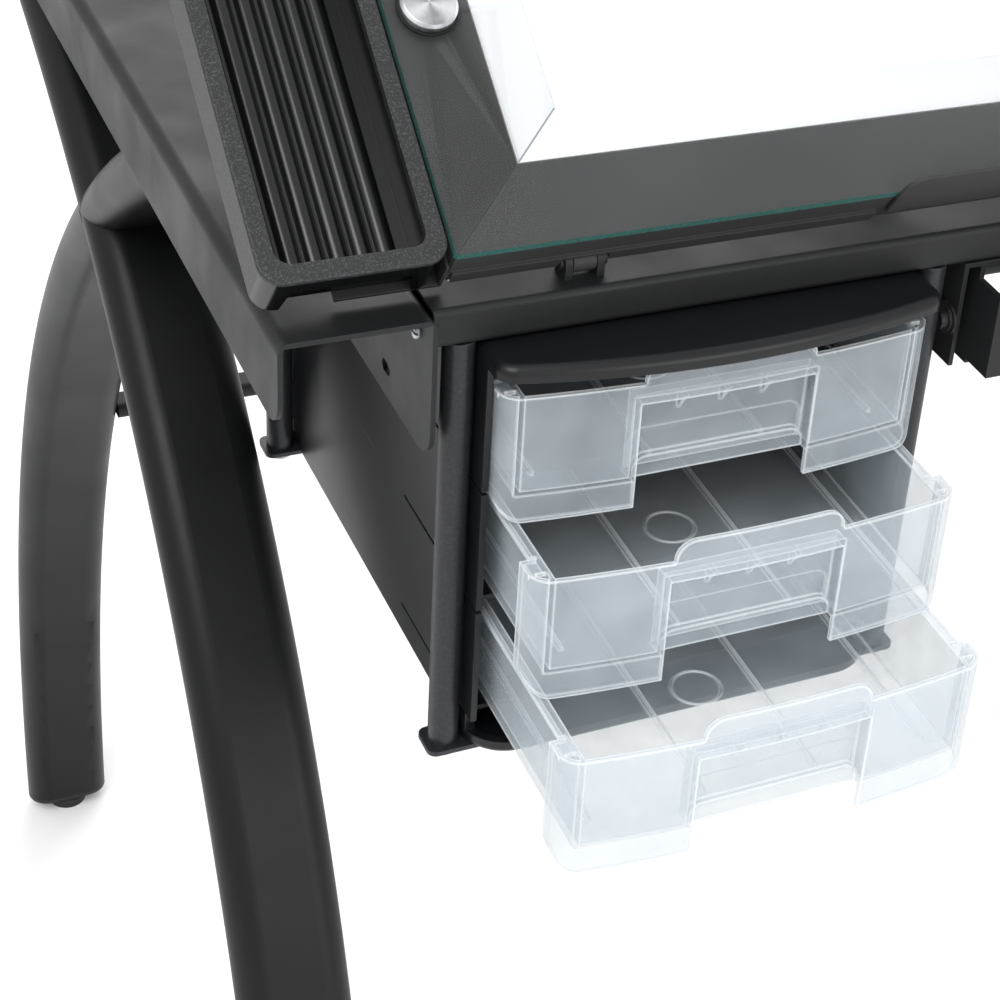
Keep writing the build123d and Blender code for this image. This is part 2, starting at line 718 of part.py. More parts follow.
def build_top_frame():
    """Four mitred sheet-steel sides under the glass; the front one has a hem and hinge notches."""
    half_w = glass_w / 2
    half_d = glass_d / 2
    inner_w = half_w - frame_w
    inner_d = half_d - frame_w
    notch_top = glass_n - knuckle_r - 0.5
    notch_w = knuckle_w + 2 * (lug_t + knuckle_gap) + 4
    front_corners = [(-half_w, -half_d), (half_w, -half_d), (inner_w, -inner_d), (-inner_w, -inner_d)]
    with BuildPart() as front:
        add(frame_side(front_corners))
        with BuildSketch(top_plane(frame_bottom - hem_h, 0)):
            for sx in (-1, 1):
                with Locations((sx * (half_w + ledge_len / 2 + 3) / 2, -hem_out / 2 + mitre_gap / 2)):
                    Rectangle(half_w - ledge_len / 2 - 6, hem_out + mitre_gap / 2)
        extrude(amount=-hem_h)
        with BuildSketch(top_plane(notch_top, 0)):
            for sx in (-1, 1):
                with Locations((sx * hinge_x, 0)):
                    Rectangle(notch_w, 2 * knuckle_r + 4)
        extrude(amount=-frame_h, mode=Mode.SUBTRACT)
    save(front, "top_frame_front")
    with BuildPart() as rear:
        add(frame_side([(x, -y) for x, y in front_corners]))
        with BuildSketch(inlet_plane()):
            Circle(inlet_r)
        extrude(amount=-2 * frame_wall, mode=Mode.SUBTRACT)
    save(rear, "top_frame_rear")
    with BuildPart() as left:
        add(frame_side([(-half_w, -half_d), (-inner_w, -inner_d), (-inner_w, inner_d), (-half_w, half_d)]))
        with BuildSketch(top_plane(glass_t, half_d)):
            with GridLocations(glass_w - 2 * cap_side, glass_d - 2 * cap_front, 2, 2):
                Circle(cap_hole_r)
        extrude(amount=-2 * frame_wall, mode=Mode.SUBTRACT)
    save(left, "top_frame_left")
    save_mirrored(left, "top_frame_right")


def pad_layer(label, depth, thickness, inset=0.0, opening=0.0):
    """One flat layer of the light pad; `opening` leaves a ring of that width."""
    width = pad_w - 2 * (pad_gap + inset)
    length = pad_d - 2 * (pad_gap + inset)
    with BuildPart() as layer:
        with BuildSketch(top_plane(depth, glass_d / 2)):
            Rectangle(width, length)
            if opening:
                Rectangle(width - 2 * opening, length - 2 * opening, mode=Mode.SUBTRACT)
        extrude(amount=-thickness)
    save(layer, label)


def build_light_pad():
    """White bezel, diffusing panel, light guide with its strips of lamps, and the back tray."""
    panel_depth = glass_t + bezel_t
    guide_depth = panel_depth + panel_t
    pad_layer("light_pad_bezel", glass_t, bezel_t, opening=bezel_w)
    pad_layer("light_panel", panel_depth, panel_t, inset=back_t + pad_gap)
    pad_layer("light_guide", guide_depth, guide_t, inset=back_t + pad_gap + led_w)
    strip_x = pad_w / 2 - 2 * pad_gap - back_t - led_w / 2
    with BuildPart() as strips:
        with BuildSketch(top_plane(guide_depth, glass_d / 2)):
            with Locations((-strip_x, 0), (strip_x, 0)):
                Rectangle(led_w - 2 * pad_gap, pad_d - 2 * led_w - 10)
        extrude(amount=-(guide_t - 1))
    save(strips, "led_strips")
    tray_depth = bezel_t + panel_t + guide_t + back_t
    with BuildPart() as back:
        with BuildSketch(top_plane(glass_t + bezel_t, glass_d / 2)):
            Rectangle(pad_w - 2 * pad_gap, pad_d - 2 * pad_gap)
        extrude(amount=-(tray_depth - bezel_t))
        with BuildSketch(top_plane(glass_t + bezel_t, glass_d / 2)):
            Rectangle(pad_w - 2 * pad_gap - 2 * back_t, pad_d - 2 * pad_gap - 2 * back_t)
        extrude(amount=-(panel_t + guide_t), mode=Mode.SUBTRACT)
    save(back, "light_pad_back")
    bar_depth = glass_t + tray_depth
    with BuildPart() as bars:
        with BuildSketch(top_plane(bar_depth, glass_d / 2)):
            with Locations((-support_x, 0), (support_x, 0)):
                Rectangle(cross_bar_w, pad_d)
        extrude(amount=-(frame_bottom - bar_depth))
    save(bars, "top_cross_bars")


def inlet_plane():
    """Where the socket stands in the frame's rear face, looking backward."""
    seat = top_plane(glass_t + frame_h / 2, glass_d - mitre_gap / 2, inlet_x)
    return Plane(origin=seat.origin, x_dir=(1, 0, 0), z_dir=seat.y_dir)


def build_power_inlet():
    """Round low-voltage socket for the light pad, in the frame's rear side."""
    with BuildPart() as inlet:
        with BuildSketch(inlet_plane()):
            Circle(inlet_r)
        extrude(amount=-inlet_len)
        with BuildSketch(inlet_plane()):
            Circle(inlet_r + inlet_flange)
        extrude(amount=inlet_flange)
        with BuildSketch(inlet_plane().offset(inlet_flange)):
            Circle(inlet_bore)
        extrude(amount=-inlet_len, mode=Mode.SUBTRACT)
    save(inlet, "power_inlet")


def build_trays():
    """Lift-off side trays with a fluted floor, and the angle rails on the frame that carry them."""
    rim_x = glass_w / 2 + tray_gap
    x_mid = -(rim_x + tray_w / 2)
    floor_n = tray_h - tray_wall
    inner_w = tray_w - 2 * tray_rim
    for name, first in (("front", tray_front), ("rear", tray_front + tray_len + tray_between)):
        mid = first + tray_len / 2
        with BuildPart() as tray:
            with BuildSketch(top_plane(tray_h, mid, x_mid)):
                RectangleRounded(tray_w - 2, tray_len - 2, tray_r - 1)
            extrude(amount=tray_h)
            with BuildSketch(top_plane(tray_rim_t, mid, x_mid)):
                RectangleRounded(tray_w, tray_len, tray_r)
            extrude(amount=tray_rim_t)
            fillet(tray.faces().group_by(top_normal())[-1].edges(), radius=1)
            with BuildSketch(top_plane(floor_n, mid, x_mid)):
                RectangleRounded(inner_w, tray_len - 2 * tray_rim, tray_r - 3)
            extrude(amount=tray_h, mode=Mode.SUBTRACT)
            with BuildSketch(top_plane(tray_h, mid, x_mid)):
                RectangleRounded(tray_w - 2 - 2 * tray_wall, tray_len - 2 - 2 * tray_wall, tray_r - 3)
                RectangleRounded(inner_w + 2 * tray_wall, tray_len - 2 * tray_rim + 2 * tray_wall, tray_r - 2,
                                 mode=Mode.SUBTRACT)
            extrude(amount=tray_h - tray_rim_t, mode=Mode.SUBTRACT)
            floor_end = top_plane(floor_n, first + tray_rim + tray_wall, x_mid)
            with BuildSketch(Plane(origin=floor_end.origin, x_dir=(1, 0, 0), z_dir=-floor_end.y_dir)):
                for flute in range(flute_count):
                    with Locations(((flute - (flute_count - 1) / 2) * flute_pitch - flute_shift, -flute_sink)):
                        Circle(flute_pitch / 2)
                with Locations((0, -tray_wall / 2)):
                    Rectangle(inner_w + tray_wall, flute_pitch + tray_wall, align=(Align.CENTER, Align.MIN),
                              mode=Mode.INTERSECT)
            extrude(amount=-(tray_len - 2 * tray_rim - 2 * tray_wall))
            skirt = top_plane(tray_h, first - 1, x_mid)
            half_notch = tray_notch_w / 2
            with BuildSketch(Plane(origin=skirt.origin, x_dir=(1, 0, 0), z_dir=-skirt.y_dir)):
                with BuildLine():
                    Polyline(
                        (-half_notch - tray_notch_slant, -1),
                        (-half_notch, tray_notch_h),
                        (half_notch, tray_notch_h),
                        (half_notch + tray_notch_slant, -1),
                        close=True,
                    )
                make_face()
            extrude(amount=-3 * tray_wall, mode=Mode.SUBTRACT)
        save(tray, f"left_{name}_tray")
        save_mirrored(tray, f"right_{name}_tray")
    with BuildPart() as rail:
        with BuildSketch(top_plane(tray_h + tray_seat, glass_d / 2, -(glass_w / 2 + tray_rail_w / 2))):
            Rectangle(tray_rail_w, glass_d)
        extrude(amount=-tray_rail_t)
        with BuildSketch(top_plane(tray_h + tray_seat, glass_d / 2, -(glass_w / 2 + tray_upstand_t / 2))):
            Rectangle(tray_upstand_t, glass_d)
        extrude(amount=tray_h - 10)
    save(rail, "left_tray_rail")
    save_mirrored(rail, "right_tray_rail")


def build_pencil_ledge():
    """Slide-up ledge with rounded ends, held on the frame's front face by two shoulder screws."""
    lie = top_plane(0, -ledge_gap)
    face = Plane(origin=lie.origin, x_dir=(1, 0, 0), z_dir=-lie.y_dir)
    with BuildPart() as ledge:
        with BuildSketch(face) as outline:
            with Locations((0, (ledge_top - ledge_bottom) / 2)):
                Rectangle(ledge_len, ledge_top + ledge_bottom)
            fillet(outline.vertices().sort_by(Axis.Y)[-2:], radius=ledge_corner_r)
            with Locations((-ledge_screw_x, ledge_screw_n + ledge_travel / 2),
                           (ledge_screw_x, ledge_screw_n + ledge_travel / 2)):
                SlotOverall(ledge_travel + 2 * (pin_r + ledge_gap), 2 * (pin_r + ledge_gap), rotation=90,
                            mode=Mode.SUBTRACT)
        extrude(amount=ledge_t)
    save(ledge, "pencil_ledge")
    seat = top_plane(0, mitre_gap / 2)
    seat_face = Plane(origin=seat.origin, x_dir=(1, 0, 0), z_dir=-seat.y_dir)
    reach = mitre_gap / 2 + 2 * ledge_gap + ledge_t
    with BuildPart() as screws:
        with BuildSketch(seat_face):
            with Locations((-ledge_screw_x, ledge_screw_n), (ledge_screw_x, ledge_screw_n)):
                Circle(pin_r)
        extrude(amount=reach)
        with BuildSketch(seat_face.offset(reach)):
            with Locations((-ledge_screw_x, ledge_screw_n), (ledge_screw_x, ledge_screw_n)):
                Circle(4.5)
        extrude(amount=1.8)
        fillet(screws.faces().sort_by(Axis(seat.origin, -seat.y_dir))[-2:].edges(), radius=0.8)
    save(screws, "ledge_screws")


def build_hinges():
    """Two pin hinges: lugs on the front rail, an ear under the frame, and the pin through them."""
    ear_top = glass_t + frame_wall
    with BuildPart() as ears:
        for sx in (-1, 1):
            with BuildSketch(side_plane(sx * hinge_x - knuckle_w / 2)):
                with Locations((hinge_y, hinge_z)):
                    Circle(knuckle_r)
                tilt = math.radians(top_tilt)
                with BuildLine():
                    Polyline(
                        *[local_to_side(along, depth, tilt) for along, depth in (
                            (hinge_set, glass_n + knuckle_r), (hinge_set, glass_n - knuckle_r),
                            (frame_wall + 2, glass_n - knuckle_r), (frame_wall + 2, ear_top + 0.2),
                            (frame_w - frame_wall - 1, ear_top + 0.2), (frame_w - frame_wall - 1, frame_bottom),
                            (2 * knuckle_r + 6, frame_bottom + 1))],
                        close=True,
                    )
                make_face()
                with Locations((hinge_y, hinge_z)):
                    Circle(pin_r + pin_gap, mode=Mode.SUBTRACT)
            extrude(amount=knuckle_w)
    save(ears, "hinge_ears")
    with BuildPart() as lugs:
        for sx in (-1, 1):
            for side in (-1, 1):
                lug_mid = sx * hinge_x + side * (knuckle_w / 2 + knuckle_gap + lug_t / 2)
                with BuildSketch(side_plane(lug_mid - lug_t / 2)):
                    with Locations((hinge_y, hinge_z)):
                        Circle(knuckle_r)
                    with Locations((hinge_y, (rail_top + hinge_z) / 2)):
                        Rectangle(2 * knuckle_r, hinge_z - rail_top)
                    with Locations((hinge_y, hinge_z)):
                        Circle(pin_r + pin_gap / 2, mode=Mode.SUBTRACT)
                extrude(amount=lug_t)
    save(lugs, "hinge_lugs")
    reach = knuckle_w + 2 * (knuckle_gap + lug_t)
    with BuildPart() as pins:
        for sx in (-1, 1):
            with BuildSketch(side_plane(sx * hinge_x - reach / 2)):
                with Locations((hinge_y, hinge_z)):
                    Circle(pin_r)
            extrude(amount=reach)
            for end in (-1, 1):
                with BuildSketch(side_plane(sx * hinge_x + end * (reach / 2 + 0.75) - 0.75)):
                    with Locations((hinge_y, hinge_z)):
                        Circle(pin_r + 1.2)
                extrude(amount=1.5)
    save(pins, "hinge_pins")


def local_to_side(along, depth, tilt):
    """A point given along and under the glass, as (Y, Z)."""
    back = along - hinge_set
    up = glass_n - depth
    return (
        hinge_y + back * math.cos(tilt) - up * math.sin(tilt),
        hinge_z + back * math.sin(tilt) + up * math.cos(tilt),
    )


def build_tilt_supports():
    """Slotted quadrants under the top, clamped between bracket plates by a bolt with a knob."""
    aim = math.radians(bolt_angle)
    bolt_y = hinge_y + quadrant_r * math.cos(aim)
    bolt_z = hinge_z + quadrant_r * math.sin(aim)
    plate_in = quadrant_t / 2 + bracket_gap
    x = -support_x
    ring = (quadrant_r - quadrant_half, quadrant_r + quadrant_half)
    slot_half = bolt_r + slot_gap
    flange_drop = math.degrees(math.asin((frame_bottom + quadrant_t / 2 - glass_n) / quadrant_r))
    with BuildPart() as quadrant:
        with BuildSketch(side_plane(x - quadrant_t / 2)):
            with Locations((hinge_y, hinge_z)):
                Circle(ring[1])
                Circle(ring[0], mode=Mode.SUBTRACT)
            with BuildLine():
                Polyline(
                    (hinge_y, hinge_z),
                    polar(reach_far, bolt_angle - 9),
                    polar(reach_far, bolt_angle + 40),
                    polar(reach_far, top_tilt - flange_drop),
                    close=True,
                )
            make_face(mode=Mode.INTERSECT)
            with BuildLine(mode=Mode.PRIVATE) as slot:
                CenterArc((hinge_y, hinge_z), quadrant_r, bolt_angle, top_tilt)
            SlotArc(slot.edges()[0], height=2 * slot_half, mode=Mode.SUBTRACT)
        extrude(amount=quadrant_t)
        with BuildSketch(top_plane(frame_bottom, 0, x)):
            with Locations((0, quadrant_r)):
                Rectangle(cross_bar_w, 2 * quadrant_half + 12)
        extrude(amount=-quadrant_t)
    save(quadrant, "left_quadrant")
    save_mirrored(quadrant, "right_quadrant")

    plate_y = front_y + bracket_len / 2
    left_x = x - plate_in - sheet
    right_x = x + plate_in
    with BuildPart() as bracket:
        with BuildSketch(side_plane(left_x)):
            with Locations((plate_y, rail_z - bracket_drop / 2)):
                Rectangle(bracket_len, bracket_drop)
        extrude(amount=sheet)
        with BuildSketch(side_plane(right_x)):
            with Locations((plate_y - box_out / 2, rail_z - bracket_drop / 2 - 3)):
                Rectangle(bracket_len + box_out, bracket_drop - 10)
            with Locations((plate_y, rail_z - bracket_drop / 2)):
                Rectangle(bracket_len, bracket_drop)
        extrude(amount=sheet)
        with BuildSketch(Plane.XY.offset(rail_z - sheet)):
            with Locations(((left_x + right_x + sheet + box_w) / 2, front_y + rail_d / 2)):
                Rectangle(right_x + sheet + box_w - left_x, rail_d)
        extrude(amount=sheet)
        with BuildSketch(Plane.XZ.offset(-(front_y - box_out))):
            with Locations((right_x + box_w / 2, rail_z - bracket_drop / 2 - 3)):
                Rectangle(box_w, bracket_drop - 10)
        extrude(amount=-sheet)
        with BuildSketch(side_plane(right_x + box_w)):
            with Locations((front_y + (rail_d - box_out) / 2, rail_z - bracket_drop / 2 - 3)):
                Rectangle(rail_d + box_out, bracket_drop - 10)
            with Locations((front_y + rail_d / 2, rail_z - bracket_drop / 4)):
                Rectangle(rail_d, bracket_drop / 2)
        extrude(amount=sheet)
        with BuildSketch(side_plane(left_x - 1)):
            with Locations((bolt_y, bolt_z)):
                Circle(bolt_r + bolt_gap)
        extrude(amount=right_x + sheet - left_x + 2, mode=Mode.SUBTRACT)
    save(bracket, "left_support_bracket")
    save_mirrored(bracket, "right_support_bracket")

    knob_x = right_x + sheet + running_gap
    with BuildPart() as knob:
        with BuildSketch(side_plane(knob_x)):
            with Locations((bolt_y, bolt_z)):
                Circle(knob_r)
                with PolarLocations(knob_r + knob_scallop_out, knob_lobes):
                    Circle(knob_scallop_r, mode=Mode.SUBTRACT)
        extrude(amount=knob_t)
        fillet(knob.edges().group_by(Axis.X)[-1], radius=knob_round)
        with BuildSketch(side_plane(left_x - nut_t - bolt_end)):
            with Locations((bolt_y, bolt_z)):
                Circle(bolt_r)
        extrude(amount=knob_x - left_x + nut_t + bolt_end)
    save(knob, "left_clamp_knob")
    save_mirrored(knob, "right_clamp_knob")

    with BuildPart() as nuts:
        for sx in (-1, 1):
            face_x = sx * (support_x + plate_in + sheet)
            for start, length, size in ((0, 1.2, bolt_r + 4), (1.2, nut_t - 1.2, bolt_r + 2.6)):
                low = face_x + sx * start if sx > 0 else face_x - start - length
                with BuildSketch(side_plane(low)):
                    with Locations((bolt_y, bolt_z)):
                        Circle(size)
                        Circle(bolt_r + bolt_gap, mode=Mode.SUBTRACT)
                extrude(amount=length)
            for start, length, size in ((0, 1.2, 7.0), (1.2, 1.2, 5.5), (2.4, 3.0, 4.2)):
                low = face_x + start if sx > 0 else face_x - start - length
                with BuildSketch(side_plane(low)):
                    with Locations((front_y + 6, rail_z - 28)):
                        Circle(size)
                extrude(amount=length)
    save(nuts, "support_fasteners")


def polar(radius, degrees):
    """A point at this radius and angle round the hinge pin, as (Y, Z)."""
    turn = math.radians(degrees)
    return (hinge_y + radius * math.cos(turn), hinge_z + radius * math.sin(turn))


build_channels()
build_cross_rails()
build_legs()
build_feet()
build_stretcher()
build_hanger()
build_cabinet()
for drawer_number, (drawer_name, drawer_pull) in enumerate(
    (("top_drawer", 0.0), ("middle_drawer", middle_pull), ("bottom_drawer", bottom_pull))
):
    build_drawer(drawer_name, drawer_number, drawer_pull)
build_glass()
build_top_frame()
build_light_pad()
build_power_inlet()
build_trays()
build_pencil_ledge()
build_hinges()
build_tilt_supports()
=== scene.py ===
"""Drafting and light table: its finishes, fittings, lights and camera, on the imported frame.

Every distance is in metres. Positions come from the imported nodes' boxes and from the record's joints.
"""
import json
import logging
import math
from dataclasses import dataclass, field
from enum import Enum
from typing import Optional, Sequence

import bmesh
import bpy
from mathutils import Matrix, Vector

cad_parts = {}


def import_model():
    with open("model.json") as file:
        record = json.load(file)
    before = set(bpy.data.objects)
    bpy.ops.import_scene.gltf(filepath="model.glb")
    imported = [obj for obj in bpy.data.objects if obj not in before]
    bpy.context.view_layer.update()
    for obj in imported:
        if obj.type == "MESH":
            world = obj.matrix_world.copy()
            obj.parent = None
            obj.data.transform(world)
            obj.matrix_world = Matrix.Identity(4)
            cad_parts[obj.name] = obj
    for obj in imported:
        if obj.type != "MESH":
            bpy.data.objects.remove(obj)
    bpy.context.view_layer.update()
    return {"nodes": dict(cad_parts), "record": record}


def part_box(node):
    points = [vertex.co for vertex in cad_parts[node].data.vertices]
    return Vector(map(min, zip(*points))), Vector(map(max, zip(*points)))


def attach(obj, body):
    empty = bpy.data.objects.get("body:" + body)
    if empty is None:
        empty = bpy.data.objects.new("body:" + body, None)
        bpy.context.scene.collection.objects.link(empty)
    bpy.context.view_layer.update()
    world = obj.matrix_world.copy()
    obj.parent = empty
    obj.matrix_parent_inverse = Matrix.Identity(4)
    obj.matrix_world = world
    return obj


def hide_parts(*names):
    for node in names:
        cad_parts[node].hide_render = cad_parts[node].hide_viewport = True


LOG = logging.getLogger("drafting_table")
Colour = tuple[float, float, float, float]
Triple = tuple[float, float, float]
Tree, Node, Socket = bpy.types.NodeTree, bpy.types.Node, bpy.types.NodeSocket
Piece, Solid = bpy.types.Object, bmesh.types.BMesh
Nodes, Sockets = dict[str, Piece], dict[str, Socket]
MM = 0.001
TILT_JOINT = "top_tilt"
SIDEWAYS, UPWARD, FORWARD = Vector((1, 0, 0)), Vector((0, 0, 1)), Vector((0, -1, 0))


class Hand(Enum):
    """Side of the table, with the sign of X there."""

    LEFT = -1
    RIGHT = 1


class End(Enum):
    """End of the tilting top, with the way inward along the glass from there."""

    FRONT = 1
    REAR = -1


class Body(Enum):
    """Bodies of the frame that fittings ride on."""

    BASE = "base"
    TOP = "top"


class Slot(Enum):
    """Material slots of the record that fittings belong to."""

    ZINC = "bright_zinc"
    CAP = "cap_metal"
    PAD = "pad_white"


# ---------------------------------------------------------------- shared helpers
def linear(code: str) -> Colour:
    """Turn an sRGB hex colour into linear light.

    Args:
        code: Six hex digits, such as "2b2c2e".

    Returns:
        Linear red, green and blue, and an alpha of one.
    """
    knee, slope, offset, power = 0.04045, 12.92, 0.055, 2.4
    parts = []
    for start in (0, 2, 4):
        value = int(code[start:start + 2], 16) / 255
        parts.append(value / slope if value <= knee else ((value + offset) / (1 + offset)) ** power)
    return (parts[0], parts[1], parts[2], 1.0)


def add_node(tree: Tree, kind: str, settings: Optional[dict] = None, links: Optional[dict] = None) -> Node:
    """Add a node, give it its settings and join its inputs.

    Args:
        tree: The node tree that gets the node.
        kind: The node's Blender type.
        settings: Attribute or input name (or input number) to value.
        links: Input name or number to the output socket that feeds it.

    Returns:
        The new node.
    """
    node = tree.nodes.new(kind)
    for key, value in (settings or {}).items():
        if isinstance(key, str) and hasattr(node, key):
            setattr(node, key, value)
        else:
            node.inputs[key].default_value = value
    for key, socket in (links or {}).items():
        tree.links.new(socket, node.inputs[key])
    return node


@dataclass(frozen=True)
class TiltedTop:
    """The glass's own directions and level, taken from the tilt joint."""

    hinge_y: float
    hinge_z: float
    tilt: float
    rise: float = 21 * MM       # glass surface above the hinge line when flat
    hinge_set: float = 1 * MM   # hinge line behind the glass's front edge

    @property
    def back(self) -> Vector:
        """Direction along the glass, away from the user."""
        return Vector((0, math.cos(self.tilt), math.sin(self.tilt)))

    @property
    def up(self) -> Vector:
        """Direction square to the glass."""
        return Vector((0, -math.sin(self.tilt), math.cos(self.tilt)))

    def point(self, x: float, along: float, depth: float) -> Vector:
        """Place a point on the top.

        Args:
            x: Distance across from the middle.
            along: Distance from the glass's front edge.
            depth: Distance under the glass's surface.

        Returns:
            The point in the shared frame.
        """
        pin = Vector((x, self.hinge_y, self.hinge_z))
        return pin + self.back * (along - self.hinge_set) + self.up * (self.rise - depth)

    def matrix(self, x: float, along: float, depth: float) -> Matrix:
        """Give the matrix of a piece that stands on the glass's plane.

        Args:
            x: Distance across from the middle.
            along: Distance from the glass's front edge.
            depth: Distance under the glass's surface.

        Returns:
            A matrix with X across, Y along the glass and Z square to it.
        """
        axes = Matrix((SIDEWAYS, self.back, self.up)).transposed().to_4x4()
        return Matrix.Translation(self.point(x, along, depth)) @ axes


def facing(point: Vector, outward: Vector) -> Matrix:
    """Give the matrix of a fitting whose own Z looks outward.

    Args:
        point: Where the fitting sits.
        outward: The direction it faces.

    Returns:
        The fitting's matrix.
    """
    return Matrix.Translation(point) @ outward.to_track_quat("Z", "Y").to_matrix().to_4x4()


def new_object(name: str, mesh: Solid, smooth: bool = True) -> Piece:
    """Turn a bmesh into a linked object.

    Args:
        name: The piece's name.
        mesh: The finished bmesh, which is freed.
        smooth: Whether its faces are shaded smooth.

    Returns:
        The new object.
    """
    bmesh.ops.recalc_face_normals(mesh, faces=mesh.faces)
    for face in mesh.faces:
        face.smooth = smooth
    data = bpy.data.meshes.new(name)
    mesh.to_mesh(data)
    mesh.free()
    piece = bpy.data.objects.new(name, data)
    bpy.context.scene.collection.objects.link(piece)
    return piece


def lathe(name: str, profile: Sequence[tuple[float, float]], segments: int = 56) -> Piece:
    """Turn a profile round the Z axis.

    Args:
        name: The piece's name.
        profile: Points as (radius, height), from the bottom's middle to the top's middle.
        segments: Steps round the axis.

    Returns:
        A closed turned piece.
    """
    mesh = bmesh.new()
    rings = []
    for radius, height in profile:
        if radius == 0:
            rings.append([mesh.verts.new((0, 0, height))])
            continue
        turns = [2 * math.pi * step / segments for step in range(segments)]
        rings.append([mesh.verts.new((radius * math.cos(a), radius * math.sin(a), height)) for a in turns])
    for low, high in zip(rings, rings[1:]):
        for step in range(segments):
            after = (step + 1) % segments
            if len(low) == 1:
                mesh.faces.new((low[0], high[after], high[step]))
            elif len(high) == 1:
                mesh.faces.new((low[step], low[after], high[0]))
            else:
                mesh.faces.new((low[step], low[after], high[after], high[step]))
    piece = new_object(name, mesh)
    sharpen(piece)
    return piece


def sharpen(piece: Piece, degrees: float = 32.0) -> None:
    """Keep edges sharper than an angle crisp in a smooth piece.

    Args:
        piece: The piece to mark.
        degrees: The angle between faces above which an edge is sharp.
    """
    mesh = bmesh.new()
    mesh.from_mesh(piece.data)
    for edge in mesh.edges:
        if len(edge.link_faces) == 2 and edge.calc_face_angle() > math.radians(degrees):
            edge.smooth = False
    mesh.to_mesh(piece.data)
    mesh.free()


def prism(outline: Sequence[tuple[float, float]], low: float, high: float) -> Solid:
    """Raise a flat outline into a solid.

    Args:
        outline: Points as (x, y), in order round the outline.
        low: Height of its bottom.
        high: Height of its top.

    Returns:
        The solid as a bmesh.
    """
    mesh = bmesh.new()
    bottom = [mesh.verts.new((x, y, low)) for x, y in outline]
    top = [mesh.verts.new((x, y, high)) for x, y in outline]
    mesh.faces.new(reversed(bottom))
    mesh.faces.new(top)
    count = len(outline)
    for step in range(count):
        after = (step + 1) % count
        mesh.faces.new((bottom[step], bottom[after], top[after], top[step]))
    return mesh


def carve(piece: Piece, cutter: Piece) -> None:
    """Cut one mesh out of another and drop the cutter.

    Args:
        piece: The piece that keeps the cut.
        cutter: The shape to take away.
    """
    cut = piece.modifiers.new("cut", "BOOLEAN")
    cut.operation = "DIFFERENCE"
    cut.object = cutter
    cut.solver = "EXACT"
    shown = piece.evaluated_get(bpy.context.evaluated_depsgraph_get())
    data = bpy.data.meshes.new_from_object(shown)
    piece.modifiers.clear()
    piece.data = data
    bpy.data.objects.remove(cutter, do_unlink=True)
    sharpen(piece)


# ---------------------------------------------------------------- finishes
BEVEL_SAMPLES = 4
FROM_LOW, FROM_HIGH, TO_LOW, TO_HIGH = 1, 2, 3, 4  # numbers of a map range node's inputs
NUMBER_A, NUMBER_B, COLOUR_A, COLOUR_B = 2, 3, 6, 7  # numbers of a mix node's inputs
MIXED_COLOUR = 2  # number of a mix node's colour output
QUIET, BUSY = 0.3, 0.7  # most of a noise's values lie between these


